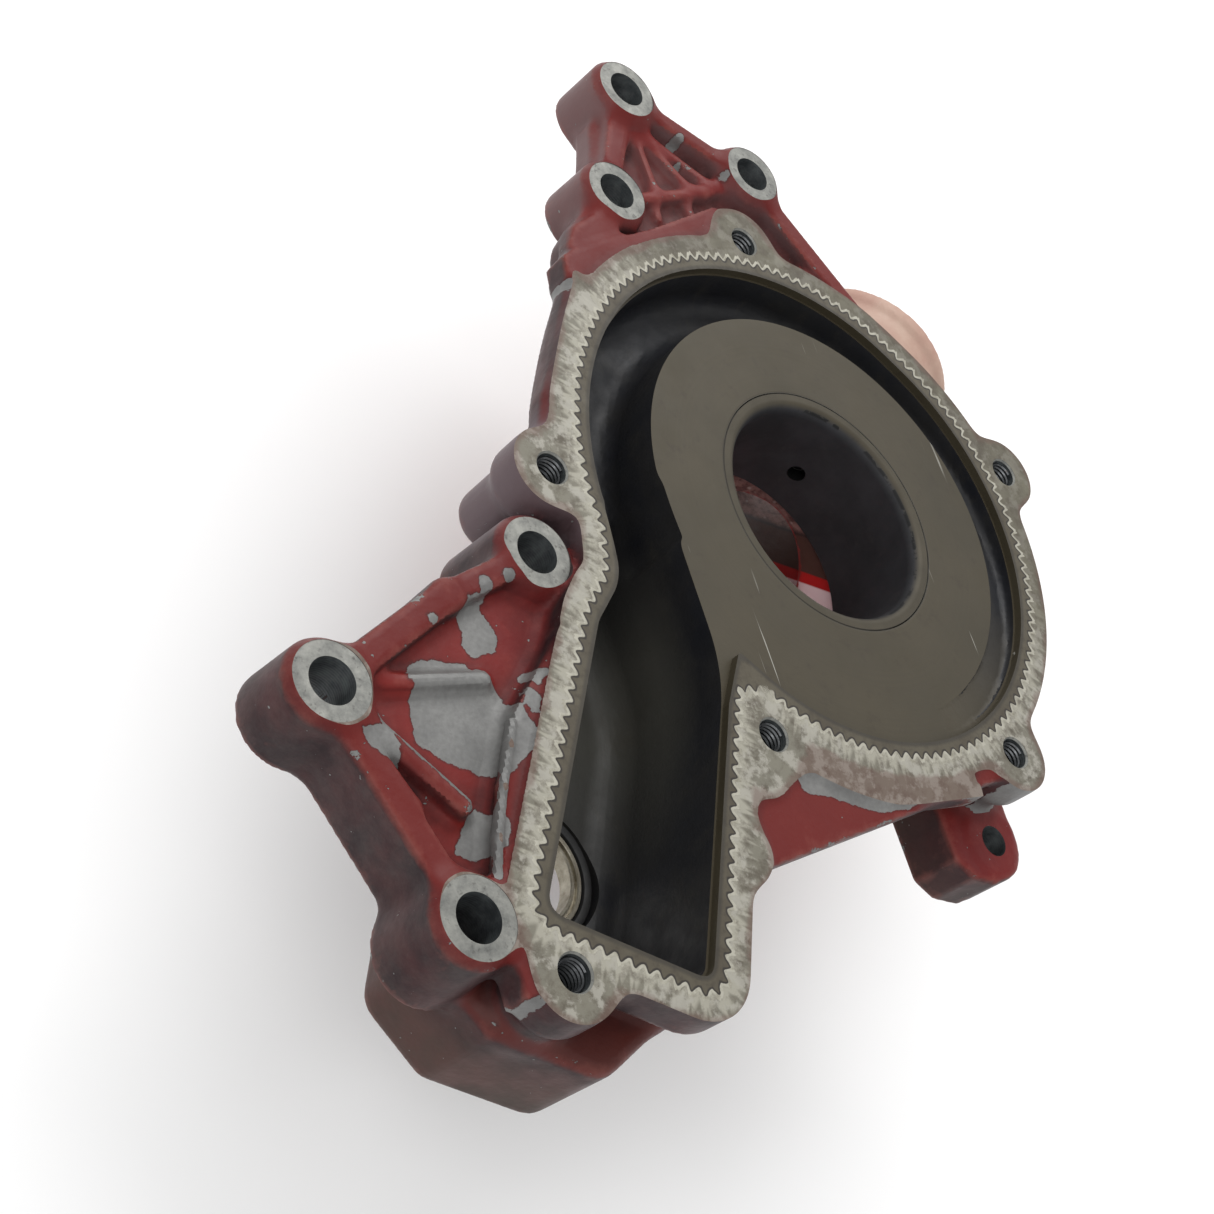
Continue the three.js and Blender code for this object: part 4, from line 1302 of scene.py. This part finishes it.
def elbow_bolt(number, angle, material):
    """Flanged hexagon bolt that holds the elbow, with a chamfered head."""
    x, y = polar(BOLT_CIRCLE, angle)
    seat = ELBOW_FLANGE_BOTTOM - 0.5
    shank = [(3.4, -31.2), (4.0, -31.9), (4.0, seat + 0.1), (8.0, seat - 0.1), (8.0, seat - 1.2),
             (7.0, seat - 2.2), (6.2, seat - 2.3)]
    points, faces = [], []
    sides = 48
    for i in range(sides):
        turn = 360 * i / sides
        flat = math.cos(math.radians(30)) / math.cos(math.radians(turn % 60 - 30))
        hexagon = [(7.2 * flat, seat - 2.4), (7.2 * flat, seat - 7.4), (min(7.2 * flat, 6.5), seat - 8.4)]
        for radius, z in shank + hexagon:
            spot = polar(radius, turn + angle)
            points.append((x + spot[0], y + spot[1], z))
    rows = len(shank) + 3
    for i in range(sides):
        here, there = i * rows, (i + 1) % sides * rows
        for j in range(rows - 1):
            faces.append((here + j, here + j + 1, there + j + 1, there + j))
    faces.append([i * rows for i in range(sides)])
    faces.append([i * rows + rows - 1 for i in range(sides)][::-1])
    bolt = new_mesh(f"flange_bolt_{number}", place(points), faces)
    bolt.data.materials.append(material)
    smooth_with_sharp_edges(bolt, 25)
    add_piece(bolt, f"elbow_bolt_{number}")


def build_elbow_fixings():
    material = steel("bolt_steel", (150, 150, 146), (96, 96, 94), 4.0, 0.35)
    for number, angle in enumerate(BOLT_ANGLES, 1):
        elbow_bolt(number, angle, material)
    section = [(48.9 + 1.28 * math.cos(turn), -48.7 + 1.28 * math.sin(turn))
               for turn in np.linspace(0, 2 * math.pi, 13)[:-1]]
    ring = lathe(section, 120, "joint_o_ring")
    ring.data.materials.append(rubber("o_ring_rubber", (30, 30, 30), (18, 18, 18)))
    smooth_with_sharp_edges(ring, 60)
    add_piece(ring, "elbow_o_ring")


def build_passage_plug():
    body = passage_rod(4.9, 89.2, 98.2)
    head = passage_rod(6.8, 98.0, 100.4)
    join = head.modifiers.new("join", "BOOLEAN")
    join.operation = "UNION"
    join.object = body
    join.solver = "MANIFOLD"
    apply_modifiers(head)
    bpy.data.objects.remove(body)
    carve(head, [passage_rod(2.9, 95, 102, sides=6)])
    soften = head.modifiers.new("soften", "BEVEL")
    soften.width = 0.4 * MM
    soften.segments = 2
    apply_modifiers(head)
    head.name = "passage_plug_screw"
    head.data.materials.append(steel("plug_brass", (176, 146, 88), (120, 96, 58), 3.0, 0.4))
    smooth_with_sharp_edges(head, 30)
    add_piece(head, "passage_plug")


build_housing()
build_eye_ring()
build_inserts()
build_outlet_port()
build_elbow()
build_elbow_fixings()
build_passage_plug()


# ---------------------------------------------------------------- studio
FLOOR_REACH = 6.0
SKY_STRENGTH = 0.79


def build_floor():
    corners = [(x * FLOOR_REACH, y * FLOOR_REACH, 0) for x, y in ((-1, -1), (1, -1), (1, 1), (-1, 1))]
    floor = new_mesh("studio_floor", corners, [(0, 1, 2, 3)])
    floor.location.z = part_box("suction_elbow")[0][2] - 0.0005
    floor.data.materials.append(floor_material())


def area_light(name, spot, size, power):
    data = bpy.data.lights.new(name, "AREA")
    data.shape = "DISK"
    data.size = size
    data.energy = power
    light = bpy.data.objects.new(name, data)
    light.location = spot
    light.rotation_euler = (Vector((0, 0, 0.08)) - Vector(spot)).to_track_quat("-Z", "Y").to_euler()
    bpy.context.scene.collection.objects.link(light)


def build_camera():
    data = bpy.data.cameras.new("camera")
    data.lens = CAMERA_LENS
    data.sensor_width = 36.0
    data.clip_start = 0.02
    camera = bpy.data.objects.new("camera", data)
    turn = Matrix((CAMERA_RIGHT, CAMERA_UP, CAMERA_BACK)).transposed().to_4x4()
    camera.matrix_world = Matrix.Translation(Vector(place(CAMERA_SPOT))) @ turn
    bpy.context.scene.collection.objects.link(camera)
    bpy.context.scene.camera = camera


def build_lights():
    area_light("key", (0.5, 1.3, 1.5), 1.8, 23)
    area_light("fill", (-1.4, -0.5, 1.6), 1.8, 12)
    world = bpy.data.worlds.new("studio")
    world.use_nodes = True
    background = world.node_tree.nodes["Background"]
    background.inputs["Color"].default_value = (1, 1, 1, 1)
    background.inputs["Strength"].default_value = SKY_STRENGTH
    bpy.context.scene.world = world
    bpy.context.scene.view_settings.view_transform = "Standard"


build_floor()
build_camera()
build_lights()
